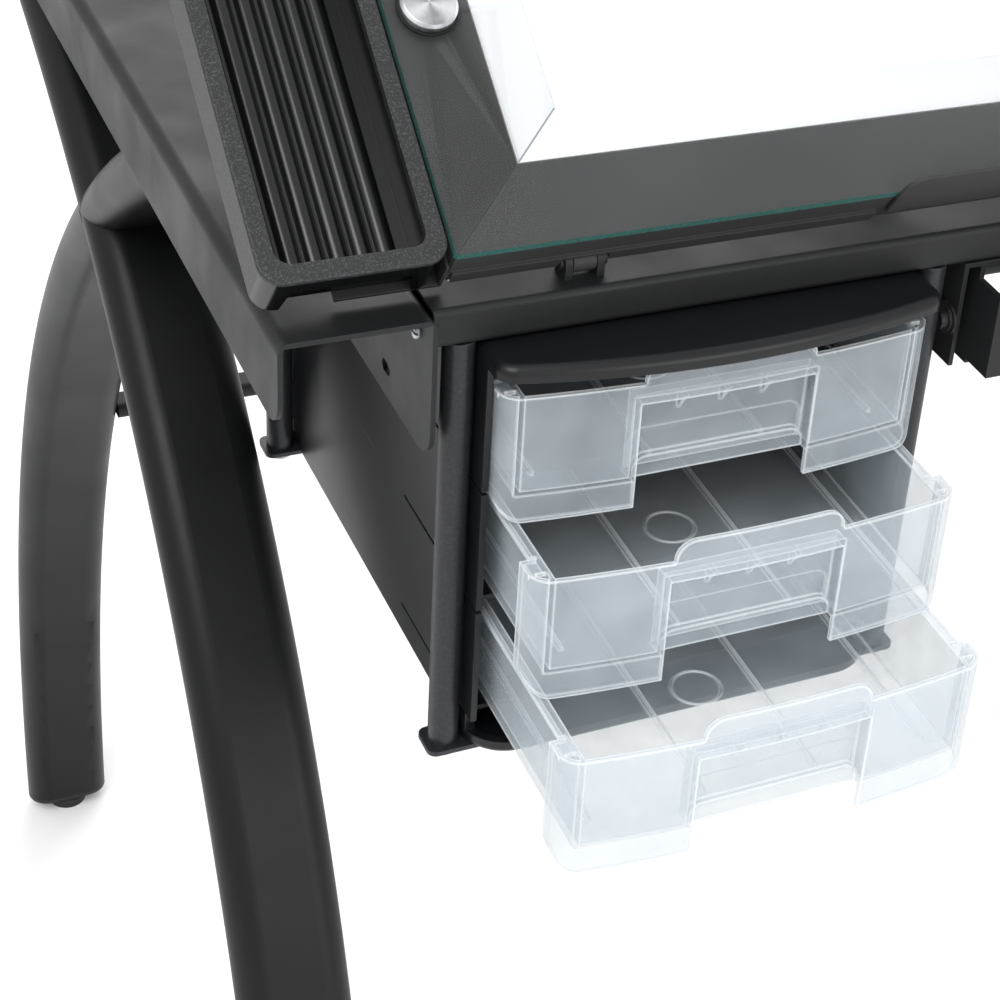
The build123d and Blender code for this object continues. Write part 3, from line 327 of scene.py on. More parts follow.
@dataclass(frozen=True)
class Finish:
    """A surface finish; each kind adds its own nodes.

    Attributes:
        name: The material's name.
        colour: Its sRGB colour in hex.
        roughness: Its usual roughness.
        edge: Radius that its sharp edges are rounded to.
        relief: Depth of its relief.
        bump: Strength of its relief.
        gloss: How much smoother and rougher it gets from place to place.
        gloss_from: Value of the gloss pattern at which it starts to get rougher.
    """

    name: str
    colour: str
    roughness: float
    edge: float = 0.5 * MM
    relief: float = 0.05 * MM
    bump: float = 0.3
    gloss: tuple[float, float] = (0.05, 0.05)
    gloss_from: float = QUIET

    def material(self) -> bpy.types.Material:
        """Make the finish's material, or give the one already made.

        Returns:
            The finished material.
        """
        made = bpy.data.materials.get(self.name)
        if made:
            return made
        made = bpy.data.materials.new(self.name)
        made.use_nodes = True
        tree = made.node_tree
        tree.nodes.clear()
        shader = add_node(tree, "ShaderNodeBsdfPrincipled",
                          {"Roughness": self.roughness, "Base Color": linear(self.colour)})
        add_node(tree, "ShaderNodeOutputMaterial", links={"Surface": shader.outputs[0]})
        place = add_node(tree, "ShaderNodeTexCoord")
        for name, socket in self.dress(tree, shader, place).items():
            tree.links.new(socket, shader.inputs[name])
        made.diffuse_color = linear(self.colour)
        return made

    def dress(self, tree: Tree, shader: Node, place: Node) -> Sockets:
        """Add the nodes of this kind of finish.

        Args:
            tree: The material's nodes.
            shader: Its principled shader.
            place: Its texture coordinates.

        Returns:
            The shader's input names, with the sockets that feed them.
        """
        raise NotImplementedError

    def skin(self, tree: Tree, second: str, share: Socket, height: Socket, patches: Socket) -> Sockets:
        """Blend in a second colour, vary the gloss and raise a relief over rounded edges.

        Args:
            tree: The material's nodes.
            second: The second colour, in hex.
            share: How much of it shows.
            height: The relief's pattern.
            patches: The gloss's pattern.

        Returns:
            The shader's input names, with the sockets that feed them.
        """
        tone = add_node(tree, "ShaderNodeMix",
                        {"data_type": "RGBA", COLOUR_A: linear(self.colour), COLOUR_B: linear(second)},
                        {0: share})
        rough = add_node(tree, "ShaderNodeMapRange",
                         {FROM_LOW: self.gloss_from, FROM_HIGH: BUSY, TO_LOW: self.roughness - self.gloss[0],
                          TO_HIGH: self.roughness + self.gloss[1]}, {0: patches})
        rounded = add_node(tree, "ShaderNodeBevel", {"samples": BEVEL_SAMPLES, "Radius": self.edge})
        bump = add_node(tree, "ShaderNodeBump", {"Strength": self.bump, "Distance": self.relief},
                        {"Height": height, "Normal": rounded.outputs[0]})
        return {"Base Color": tone.outputs[MIXED_COLOUR], "Roughness": rough.outputs[0],
                "Normal": bump.outputs[0]}

    def edge_mask(self, tree: Tree, radius: float, start: float = 0.03, end: float = 0.3) -> Socket:
        """Find the narrow band along outside edges.

        Args:
            tree: The material's nodes.
            radius: Width of the band.
            start: Turn of the normal at which the band begins, as a share.
            end: Turn at which it is full.

        Returns:
            A mask from zero to one.
        """
        bevel = add_node(tree, "ShaderNodeBevel", {"samples": BEVEL_SAMPLES, "Radius": radius})
        flat = add_node(tree, "ShaderNodeNewGeometry")
        agree = add_node(tree, "ShaderNodeVectorMath", {"operation": "DOT_PRODUCT"},
                         {0: bevel.outputs[0], 1: flat.outputs["True Normal"]})
        band = add_node(tree, "ShaderNodeMapRange", {FROM_LOW: 1 - start, FROM_HIGH: 1 - end},
                        {0: agree.outputs["Value"]})
        return band.outputs[0]


@dataclass(frozen=True)
class PowderCoat(Finish):
    """Baked powder paint on steel: fine texture, small changes of gloss, and a painted highlight that makes
    sharp edges paler.
    """

    # paler colour of the grain's tips, and of the painted highlight along sharp edges
    speck_and_highlight: str = "6a6c70"
    grain: float = 0.55 * MM
    gloss: tuple[float, float] = (0.08, 0.08)
    shine: float = 0.32
    specks: float = 0.1             # how much of the paler colour the grain's tips show
    speck_from: float = 0.42
    speck_full: float = 0.75
    gloss_patch: float = 45 * MM
    edge_band: float = 0.9 * MM
    # strength of the painted highlight along sharp edges
    edge_highlight: float = 0.35
    bump: float = 0.35

    def dress(self, tree: Tree, shader: Node, place: Node) -> Sockets:
        """Add the coat's grain, its change of gloss and the painted highlight along its edges.

        Args:
            tree: The material's nodes.
            shader: Its principled shader.
            place: Its texture coordinates.

        Returns:
            Sockets by shader input.
        """
        spot = place.outputs["Object"]
        shader.inputs["Specular IOR Level"].default_value = self.shine
        fine = add_node(tree, "ShaderNodeTexNoise", {"Scale": 1 / self.grain, "Detail": 5.0}, {"Vector": spot})
        broad = add_node(tree, "ShaderNodeTexNoise", {"Scale": 1 / self.gloss_patch, "Detail": 4.0},
                         {"Vector": spot})
        # Painted highlight: the paler colour laid along sharp edges, added to the grain's paler specks
        edges = self.edge_mask(tree, self.edge_band)
        highlight = add_node(tree, "ShaderNodeMath", {"operation": "MULTIPLY", 1: self.edge_highlight}, {0: edges})
        speck = add_node(tree, "ShaderNodeMapRange",
                         {FROM_LOW: self.speck_from, FROM_HIGH: self.speck_full, TO_HIGH: self.specks},
                         {0: fine.outputs[0]})
        pale = add_node(tree, "ShaderNodeMath", {"operation": "ADD", "use_clamp": True},
                        {0: highlight.outputs[0], 1: speck.outputs[0]})
        return self.skin(tree, self.speck_and_highlight, pale.outputs[0], fine.outputs[0], broad.outputs[0])


@dataclass(frozen=True)
class MouldedPlastic(Finish):
    """Injection-moulded plastic: faint orange peel, a few handling marks, and a soft painted highlight along
    its edges.
    """

    # colour of the painted highlight along the edges
    pale: str = "3a3b3e"
    peel: float = 5 * MM
    relief: float = 0.04 * MM
    coat: float = 0.0
    coat_roughness: float = 0.12
    shine: float = 0.4
    mark: float = 60 * MM
    gloss: tuple[float, float] = (0.02, 0.04)
    gloss_from: float = 0.35
    edge_band: float = 0.7 * MM
    # strength of the painted highlight along the edges
    edge_highlight: float = 0.3

    def dress(self, tree: Tree, shader: Node, place: Node) -> Sockets:
        """Add the orange peel, the handling marks and the painted highlight along the edges.

        Args:
            tree: The material's nodes.
            shader: Its principled shader.
            place: Its texture coordinates.

        Returns:
            Sockets by shader input.
        """
        spot = place.outputs["Object"]
        shader.inputs["Specular IOR Level"].default_value = self.shine
        shader.inputs["Coat Weight"].default_value = self.coat
        shader.inputs["Coat Roughness"].default_value = self.coat_roughness
        peel = add_node(tree, "ShaderNodeTexNoise", {"Scale": 1 / self.peel, "Detail": 2.0}, {"Vector": spot})
        marks = add_node(tree, "ShaderNodeTexNoise", {"Scale": 1 / self.mark, "Detail": 2.0}, {"Vector": spot})
        # Painted highlight: the pale colour laid along the edges
        edges = self.edge_mask(tree, self.edge_band)
        highlight = add_node(tree, "ShaderNodeMath", {"operation": "MULTIPLY", 1: self.edge_highlight}, {0: edges})
        return self.skin(tree, self.pale, highlight.outputs[0], peel.outputs[0], marks.outputs[0])


@dataclass(frozen=True)
class TrayPlastic(Finish):
    """Black tray plastic: grained and speckled on the rim and skirt, smooth and glossy in the flutes."""

    up: Triple = (0.0, 0.0, 1.0)
    level: float = 0.0
    rim_depth: float = 3 * MM
    rim_blend: float = 0.6 * MM
    skirt_out: float = 0.0
    skirt_inset: float = 1 * MM
    skirt_blend: float = 0.5 * MM
    speckle: str = "424345"
    speck_from: float = 0.5
    speck_full: float = 0.72
    grained: str = "161718"
    grained_roughness: float = 0.5
    grain: float = 0.7 * MM
    relief: float = 0.12 * MM
    bump: float = 0.5

    def dress(self, tree: Tree, shader: Node, place: Node) -> Sockets:
        """Add grain above the rim's depth and gloss below it.

        Args:
            tree: The material's nodes.
            shader: Its principled shader.
            place: Its texture coordinates.

        Returns:
            Sockets by shader input.
        """
        spot = place.outputs["Object"]
        height = add_node(tree, "ShaderNodeVectorMath", {"operation": "DOT_PRODUCT", 1: self.up}, {0: spot})
        rim_low = self.level - self.rim_depth
        rim = add_node(tree, "ShaderNodeMapRange", {FROM_LOW: rim_low - self.rim_blend, FROM_HIGH: rim_low},
                       {0: height.outputs["Value"]})
        across = add_node(tree, "ShaderNodeSeparateXYZ", links={0: spot})
        out = add_node(tree, "ShaderNodeMath", {"operation": "ABSOLUTE"}, {0: across.outputs[0]})
        skirt_from = self.skirt_out - self.skirt_inset
        skirt = add_node(tree, "ShaderNodeMapRange",
                         {FROM_LOW: skirt_from - self.skirt_blend, FROM_HIGH: skirt_from}, {0: out.outputs[0]})
        grainy = add_node(tree, "ShaderNodeMath", {"operation": "MAXIMUM"},
                          {0: rim.outputs[0], 1: skirt.outputs[0]}).outputs[0]
        fine = add_node(tree, "ShaderNodeTexNoise", {"Scale": 1 / self.grain, "Detail": 2.0}, {"Vector": spot})
        specks = add_node(tree, "ShaderNodeMapRange",
                          {FROM_LOW: self.speck_from, FROM_HIGH: self.speck_full}, {0: fine.outputs[0]})
        rim_colour = add_node(tree, "ShaderNodeMix",
                              {"data_type": "RGBA", COLOUR_A: linear(self.grained),
                               COLOUR_B: linear(self.speckle)}, {0: specks.outputs[0]})
        colour = add_node(tree, "ShaderNodeMix", {"data_type": "RGBA", COLOUR_A: linear(self.colour)},
                          {0: grainy, COLOUR_B: rim_colour.outputs[MIXED_COLOUR]})
        rough = add_node(tree, "ShaderNodeMapRange",
                         {TO_LOW: self.roughness, TO_HIGH: self.grained_roughness}, {0: grainy})
        relief = add_node(tree, "ShaderNodeMath", {"operation": "MULTIPLY"}, {0: fine.outputs[0], 1: grainy})
        rounded = add_node(tree, "ShaderNodeBevel", {"samples": BEVEL_SAMPLES, "Radius": self.edge})
        bump = add_node(tree, "ShaderNodeBump", {"Strength": self.bump, "Distance": self.relief},
                        {"Height": relief.outputs[0], "Normal": rounded.outputs[0]})
        return {"Base Color": colour.outputs[MIXED_COLOUR], "Roughness": rough.outputs[0],
                "Normal": bump.outputs[0]}


@dataclass(frozen=True)
class TurnedMetal(Finish):
    """Bare metal turned on a lathe or plated: fine rings about its own Z axis and fans of light."""

    darker: str = "77797c"
    ring: float = 0.45 * MM
    relief: float = 0.02 * MM
    fans: float = 3.0
    fan_share: float = 0.4
    fan_from: float = 0.1
    fan_full: float = 0.95
    stain: float = 4 * MM
    gloss: tuple[float, float] = (0.06, 0.08)
    bump: float = 0.2

    def dress(self, tree: Tree, shader: Node, place: Node) -> Sockets:
        """Add the rings, the fans of light and small stains.

        Args:
            tree: The material's nodes.
            shader: Its principled shader.
            place: Its texture coordinates.

        Returns:
            Sockets by shader input.
        """
        spot = place.outputs["Object"]
        shader.inputs["Metallic"].default_value = 1.0
        split = add_node(tree, "ShaderNodeSeparateXYZ", links={0: spot})
        flat = add_node(tree, "ShaderNodeCombineXYZ", links={0: split.outputs[0], 1: split.outputs[1]})
        radius = add_node(tree, "ShaderNodeVectorMath", {"operation": "LENGTH"}, {0: flat.outputs[0]})
        rings = add_node(tree, "ShaderNodeMath", {"operation": "MULTIPLY", 1: 2 * math.pi / self.ring},
                         {0: radius.outputs["Value"]})
        wave = add_node(tree, "ShaderNodeMath", {"operation": "SINE"}, {0: rings.outputs[0]})
        turn = add_node(tree, "ShaderNodeMath", {"operation": "ARCTAN2"},
                        {0: split.outputs[1], 1: split.outputs[0]})
        fan_turn = add_node(tree, "ShaderNodeMath", {"operation": "MULTIPLY", 1: self.fans},
                            {0: turn.outputs[0]})
        fan = add_node(tree, "ShaderNodeMath", {"operation": "SINE"}, {0: fan_turn.outputs[0]})
        stains = add_node(tree, "ShaderNodeTexNoise", {"Scale": 1 / self.stain, "Detail": 4.0},
                          {"Vector": spot})
        mix = add_node(tree, "ShaderNodeMath", {"operation": "MULTIPLY_ADD", 1: self.fan_share},
                       {0: fan.outputs[0], 2: stains.outputs[0]})
        share = add_node(tree, "ShaderNodeMapRange", {FROM_LOW: self.fan_from, FROM_HIGH: self.fan_full},
                         {0: mix.outputs[0]})
        return self.skin(tree, self.darker, share.outputs[0], wave.outputs[0], stains.outputs[0])


@dataclass(frozen=True)
class TemperedGlass(Finish):
    """Clear tempered glass: almost invisible on its faces, teal green and ground on its edges."""

    up: Triple = (0.0, 0.0, 1.0)
    ior: float = 1.52
    edge_colour: str = "2f6f66"
    edge_roughness: float = 0.28
    side_on: float = 0.6            # share of the face's normal below which it is all edge
    face_on: float = 0.9
    smear: float = 60 * MM
    smear_from: float = 0.35
    smear_full: float = 0.75
    film: float = 0.012
    mirror: float = 0.45
    mirror_ior: float = 1.5
    streak: float = 1.8 * MM
    edge_clear: float = 0.55
    edge_dense: float = 0.75

    def dress(self, tree: Tree, shader: Node, place: Node) -> Sockets:
        """Add the green edge and the faint reflections of the faces.

        Args:
            tree: The material's nodes.
            shader: Its principled shader.
            place: Its texture coordinates.

        Returns:
            Sockets by shader input.
        """
        spot = place.outputs["Object"]
        shader.inputs["IOR"].default_value = self.ior
        lies = add_node(tree, "ShaderNodeVectorMath", {"operation": "DOT_PRODUCT", 1: self.up},
                        {0: place.outputs["Normal"]})
        size = add_node(tree, "ShaderNodeMath", {"operation": "ABSOLUTE"}, {0: lies.outputs["Value"]})
        edge = add_node(tree, "ShaderNodeMapRange",
                        {FROM_LOW: self.side_on, FROM_HIGH: self.face_on, TO_LOW: 1.0, TO_HIGH: 0.0},
                        {0: size.outputs[0]}).outputs[0]
        smears = add_node(tree, "ShaderNodeTexNoise", {"Scale": 1 / self.smear, "Detail": 5.0},
                          {"Vector": spot})
        film = add_node(tree, "ShaderNodeMapRange",
                        {FROM_LOW: self.smear_from, FROM_HIGH: self.smear_full, TO_HIGH: self.film},
                        {0: smears.outputs[0]})
        gloss = add_node(tree, "ShaderNodeFresnel", {"IOR": self.mirror_ior})
        face = add_node(tree, "ShaderNodeMath", {"operation": "MULTIPLY_ADD", 1: self.mirror},
                        {0: gloss.outputs[0], 2: film.outputs[0]})
        streaks = add_node(tree, "ShaderNodeTexNoise", {"Scale": 1 / self.streak, "Detail": 3.0},
                           {"Vector": spot})
        rim = add_node(tree, "ShaderNodeMapRange",
                       {FROM_LOW: QUIET, FROM_HIGH: BUSY, TO_LOW: self.edge_clear, TO_HIGH: self.edge_dense},
                       {0: streaks.outputs[0]})
        alpha = add_node(tree, "ShaderNodeMix",
                         links={0: edge, NUMBER_A: face.outputs[0], NUMBER_B: rim.outputs[0]})
        green = add_node(tree, "ShaderNodeMix",
                         {"data_type": "RGBA", COLOUR_A: linear(self.colour),
                          COLOUR_B: linear(self.edge_colour)}, {0: edge})
        rough = add_node(tree, "ShaderNodeMapRange",
                         {TO_LOW: self.roughness, TO_HIGH: self.edge_roughness}, {0: edge})
        return {"Alpha": alpha.outputs[0], "Base Color": green.outputs[MIXED_COLOUR],
                "Roughness": rough.outputs[0]}


@dataclass(frozen=True)
class ClearPlastic(Finish):
    """Clear moulded plastic, faintly frosted: see-through walls with milky, bright edges."""

    bright: str = "f4f8fb"
    wall: float = 0.3
    rim: float = 0.86
    ior: float = 1.5
    flow: float = 22 * MM
    flow_clearer: float = 0.05
    flow_milkier: float = 0.06
    gloss: tuple[float, float] = (0.0, 0.1)
    frost: float = 1.1 * MM
    graze: float = 0.28
    graze_milk: float = 0.3
    edge_band: float = 2.0 * MM
    edge_start: float = 0.01
    edge_full: float = 0.16
    bump: float = 0.12

    def dress(self, tree: Tree, shader: Node, place: Node) -> Sockets:
        """Add the frosting, the bright edges and the moulding's flow marks.

        Args:
            tree: The material's nodes.
            shader: Its principled shader.
            place: Its texture coordinates.

        Returns:
            Sockets by shader input.
        """
        spot = place.outputs["Object"]
        shader.inputs["IOR"].default_value = self.ior
        flow = add_node(tree, "ShaderNodeTexNoise", {"Scale": 1 / self.flow, "Detail": 4.0}, {"Vector": spot})
        fine = add_node(tree, "ShaderNodeTexNoise", {"Scale": 1 / self.frost, "Detail": 2.0}, {"Vector": spot})
        edges = self.edge_mask(tree, self.edge_band, self.edge_start, self.edge_full)
        graze = add_node(tree, "ShaderNodeLayerWeight", {"Blend": self.graze})
        body = add_node(tree, "ShaderNodeMapRange",
                        {FROM_LOW: QUIET, FROM_HIGH: BUSY, TO_LOW: self.wall - self.flow_clearer,
                         TO_HIGH: self.wall + self.flow_milkier}, {0: flow.outputs[0]})
        milky = add_node(tree, "ShaderNodeMath", {"operation": "MULTIPLY_ADD", 1: self.graze_milk},
                         {0: graze.outputs["Facing"], 2: body.outputs[0]})
        alpha = add_node(tree, "ShaderNodeMix", {NUMBER_B: self.rim}, {0: edges, NUMBER_A: milky.outputs[0]})
        skin = self.skin(tree, self.bright, edges, fine.outputs[0], flow.outputs[0])
        return skin | {"Alpha": alpha.outputs[0]}


@dataclass(frozen=True)
class Diffuser(Finish):
    """White satin plastic sheet, a little translucent, with a very fine tooth."""

    shade: str = "e4e8ea"
    # strength of a painted glow that brightens the sheet in place of the studio light the glass above holds
    # back
    painted_glow: float = 0.0
    painted_glow_colour: str = "ffffff"
    cloud: float = 120 * MM
    tooth: float = 0.5 * MM
    relief: float = 0.02 * MM
    bump: float = 0.15

    def dress(self, tree: Tree, shader: Node, place: Node) -> Sockets:
        """Add the tooth, the soft change of white and a painted glow that stands in for the light the glass
        above holds back.

        Args:
            tree: The material's nodes.
            shader: Its principled shader.
            place: Its texture coordinates.

        Returns:
            Sockets by shader input.
        """
        spot = place.outputs["Object"]
        cloud = add_node(tree, "ShaderNodeTexNoise", {"Scale": 1 / self.cloud, "Detail": 3.0}, {"Vector": spot})
        tooth = add_node(tree, "ShaderNodeTexNoise", {"Scale": 1 / self.tooth, "Detail": 2.0}, {"Vector": spot})
        share = add_node(tree, "ShaderNodeMapRange", {FROM_LOW: QUIET, FROM_HIGH: BUSY}, {0: cloud.outputs[0]})
        # Painted glow: emission in place of the light that the glass above holds back
        if self.painted_glow:
            shader.inputs["Emission Color"].default_value = linear(self.painted_glow_colour)
            shader.inputs["Emission Strength"].default_value = self.painted_glow
        return self.skin(tree, self.shade, share.outputs[0], tooth.outputs[0], tooth.outputs[0])


# Folded steel under a baked, fine-textured black powder coat: matt, with a painted highlight along its edges
BASE_STEEL = PowderCoat("black_textured_powder_coat", "151617", 0.52, speck_and_highlight="434447")
# Flat-oval steel tube under a smooth satin black powder coat: one long soft highlight down each leg
LEG_STEEL = PowderCoat("black_satin_powder_coat", "0c0d0e", 0.42, grain=1.6 * MM, relief=0.02 * MM,
                       speck_and_highlight="232427", gloss=(0.04, 0.04), shine=0.26)
# Folded steel under a textured charcoal powder coat: its grain is drawn a little coarse so that it shows
TOP_STEEL = PowderCoat("charcoal_textured_powder_coat", "303031", 0.58, speck_and_highlight="5c5d60", grain=0.6 * MM,
                       specks=0.07, relief=0.035 * MM)
# Round steel tube under a satin dark grey coat: a clear highlight along its length
POST_STEEL = PowderCoat("dark_grey_satin_coat", "232427", 0.36, grain=1.4 * MM, relief=0.03 * MM)
# Spun aluminium: fans of light round the middle, with rings drawn coarser than the tool's real feed
SPUN_METAL = TurnedMetal("spun_aluminium", "eaebec", 0.3, darker="9fa1a3")
# Zinc-plated steel, barrel plated: pale grey and a little clouded
ZINC = TurnedMetal("bright_zinc_plate", "b9bcc0", 0.3, darker="8a8d92", ring=0.9 * MM, fans=2.0)
# Bare cut steel where the paint ends at the hem's tip: a small bright fleck
BARE_STEEL = TurnedMetal("bare_steel_edge", "c4c6c8", 0.34, darker="8f9194", ring=1.2 * MM, fans=1.0)
# Solid moulded rubber: dull, with almost no highlight
RUBBER = MouldedPlastic("black_rubber", "101011", 0.72, peel=1.2 * MM, relief=0.05 * MM, pale="2a2a2c")
# Glass-filled nylon as moulded: black, faintly rough, soft highlights
NYLON = MouldedPlastic("black_nylon", "19191b", 0.42, peel=1.0 * MM, relief=0.06 * MM)
# High-impact styrene as moulded: semi-gloss black with a slow orange peel
CABINET_PLASTIC = MouldedPlastic("black_cabinet_plastic", "111214", 0.34, coat=0.06, shine=0.3, pale="34363a",
                                 peel=9 * MM, relief=0.012 * MM)
# Clear styrene from a finely frosted mould: see-through walls, white where an edge gathers light
DRAWER_PLASTIC = ClearPlastic("clear_frosted_plastic", "c9d3da", 0.16, wall=0.2, rim=0.82)
# Satin white plastic of the bezel and opal acrylic of the panel, which is a little brighter and carries a
# painted glow
BEZEL_WHITE = Diffuser("white_bezel_plastic", "e6e8ea", 0.42, shade="e2e4e7")
PANEL_WHITE = Diffuser("white_diffusing_panel", "f7f9fb", 0.45, shade="f4f6f8", painted_glow=0.3)
# Cast acrylic with polished edges, as a light guide is: clear, with bright rims
GUIDE_CLEAR = ClearPlastic("clear_acrylic_guide", "dbe7ee", 0.08, wall=0.25, rim=0.7)
# Circuit board under white solder mask, with the warm tone of the lamps on it
STRIP_BOARD = MouldedPlastic("lamp_strip_board", "dcd8bc", 0.5, pale="fff6c8", peel=8 * MM)
# Mill-finish aluminium sheet under a clear coat: even mid grey with a slow change of gloss
PAD_BACK = PowderCoat("plain_aluminium_back", "8d9093", 0.4, speck_and_highlight="c2c4c6", grain=3 * MM, relief=0.02 * MM)
# Shadow of the mitred joint between the bezel's sides: a dull grey line
JOINT_GREY = MouldedPlastic("grey_joint_line", "8b9196", 0.6, peel=1 * MM, pale="a5abb0")
# Seamless matt vinyl backdrop: nearly white, with no pattern of its own
PALE_FLOOR = Diffuser("pale_floor", "fbfbfb", 0.8, shade="f6f6f6")


# ---------------------------------------------------------------- sub-assemblies
@dataclass
class SubAssembly:
    """A group of frame nodes and the fittings that go on them.

    The values of a screw's head are shares of its radius and its height.
    """

    top: TiltedTop
    made: list[Piece] = field(default_factory=list)
    dome: tuple[tuple[float, float], ...] = ((1, 0), (1, 0.45), (0.9, 0.75), (0.6, 0.95), (0, 1))
    shank_share: float = 0.45
    shank_sink: float = 0.8
    cross_arm: float = 0.6
    slot_arm: float = 1.2
    recess_half: float = 0.14
    recess_floor: float = 0.45
    screw_segments: int = 40

    def coat(self, nodes: Nodes, finish: Finish, *names: str) -> None:
        """Give frame nodes a finish through their material slots.

        Args:
            nodes: The frame's nodes by name.
            finish: The finish they get.
            names: The nodes' names.
        """
        for name in names:
            piece = nodes[name]
            if not piece.material_slots:
                piece.data.materials.append(None)
            for place in piece.material_slots:
                place.material = finish.material()

    def fit(self, piece: Piece, finish: Finish, body: Body, slot: Slot) -> Piece:
        """Finish a piece that is in place and make it ride on a body.

        Args:
            piece: The piece, already in place.
            finish: Its finish.
            body: The body it rides on.
            slot: The record's material slot that it belongs to; not used.

        Returns:
            The same piece.
        """
        piece.data.materials.clear()
        piece.data.materials.append(finish.material())
        bpy.context.view_layer.update()
        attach(piece, body.value)
        self.made.append(piece)
        return piece

    def screw(self, name: str, place: Matrix, radius: float, height: float, body: Body,
              crossed: bool = False) -> Piece:
        """Fit a zinc-plated domed screw with a slot or a cross in its head.

        Args:
            name: The screw's name.
            place: Its matrix, with Z outward.
            radius: Radius of its head.
            height: Height of its head.
            body: The body it rides on.
            crossed: Whether the recess is a cross.

        Returns:
            The screw.
        """
        shank_r, shank_end = self.shank_share * radius, -self.shank_sink * height
        profile = [(0, shank_end), (shank_r, shank_end), (shank_r, 0)]
        profile += [(out * radius, up * height) for out, up in self.dome]
        piece = lathe(name, profile, self.screw_segments)
        arm = (self.cross_arm if crossed else self.slot_arm) * radius
        half, floor = self.recess_half * radius, self.recess_floor * height
        for turn in range(2 if crossed else 1):
            corners = [(-arm, -half), (arm, -half), (arm, half), (-arm, half)]
            if turn:
                corners = [(-y, x) for x, y in corners]
            carve(piece, new_object("cutter", prism(corners, floor, 2 * height), False))
        piece.matrix_world = place
        return self.fit(piece, ZINC, body, Slot.ZINC)


@dataclass
class BaseFrame(SubAssembly):
    """Channels, cross rails, hinges and the small screws in the gussets."""

    sheet: float = 2 * MM
    screw_back: float = 16 * MM     # from the channel's end
    screw_down: float = 12.5 * MM   # under the channel's top
    head_r: float = 3.6 * MM
    head_h: float = 2.2 * MM

    def build(self, nodes: Nodes) -> None:
        """Coat the base and add its screws.

        Args:
            nodes: The frame's nodes by name.
        """
        self.coat(nodes, BASE_STEEL, "front_rail", "middle_rail", "rear_rail", "left_side_channel",
                  "right_side_channel", "left_support_bracket", "right_support_bracket", "hinge_lugs",
                  "rear_stretcher", "hinge_pins")
        rail_low, rail_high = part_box("middle_rail")
        for hand in Hand:
            side = hand.name.lower()
            low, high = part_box(f"{side}_side_channel")
            web = Vector((-hand.value, 0, 0)) * self.sheet
            inner = Vector((low[0] if hand is Hand.RIGHT else high[0], 0, high[2])) - web
            spots = (low[1] + self.screw_back, high[1] - self.screw_back, (rail_low[1] + rail_high[1]) / 2)
            for number, y in enumerate(spots):
                spot = inner + Vector((0, y, -self.screw_down))
                self.screw(f"{side}_channel_screw_{number}", facing(spot, SIDEWAYS * hand.value),
                           self.head_r, self.head_h, Body.BASE)


@dataclass
class Legs(SubAssembly):
    """Curved crossing legs, their moulded ends and the leveling feet."""

    bolt_backs: tuple[float, float] = (18 * MM, 46 * MM)    # from the channel's rear end
    bolt_sink: float = 0.2 * MM
    bolt_r: float = 6 * MM
    bolt_h: float = 1.2 * MM        # low enough to pass under the tray rail when the top lies flat

    def build(self, nodes: Nodes) -> None:
        """Coat the legs and feet and add the bolts at the legs' rear heads.

        Args:
            nodes: The frame's nodes by name.
        """
        for hand in Hand:
            side = hand.name.lower()
            self.coat(nodes, LEG_STEEL, f"{side}_front_leg", f"{side}_rear_leg", f"{side}_leg_brace")
            self.coat(nodes, NYLON, f"leveler_front_{side}", f"leveler_rear_{side}")
            low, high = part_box(f"{side}_side_channel")
            for number, back in enumerate(self.bolt_backs):
                spot = Vector(((low[0] + high[0]) / 2, high[1] - back, high[2] - self.bolt_sink))
                self.screw(f"{side}_leg_bolt_{number}", facing(spot, UPWARD), self.bolt_r, self.bolt_h,
                           Body.BASE, crossed=True)
        self.coat(nodes, NYLON, "leg_end_caps")


@dataclass
class Cabinet(SubAssembly):
    """Hanging cabinet of three tiers with its posts, straps and nuts."""

    def build(self, nodes: Nodes) -> None:
        """Give the cabinet and its hanger their finishes.

        Args:
            nodes: The frame's nodes by name.
        """
        self.coat(nodes, CABINET_PLASTIC, "cabinet_base", "cabinet_cap", "cabinet_upper_tier",
                  "cabinet_middle_tier", "cabinet_lower_tier")
        self.coat(nodes, POST_STEEL, "hanger_posts", "cabinet_straps")
        self.coat(nodes, ZINC, "strap_cap_nuts")


@dataclass
class Drawers(SubAssembly):
    """Three clear drawers."""

    def build(self, nodes: Nodes) -> None:
        """Give the drawers their clear plastic.

        Args:
            nodes: The frame's nodes by name.
        """
        self.coat(nodes, DRAWER_PLASTIC, "top_drawer", "middle_drawer", "bottom_drawer")


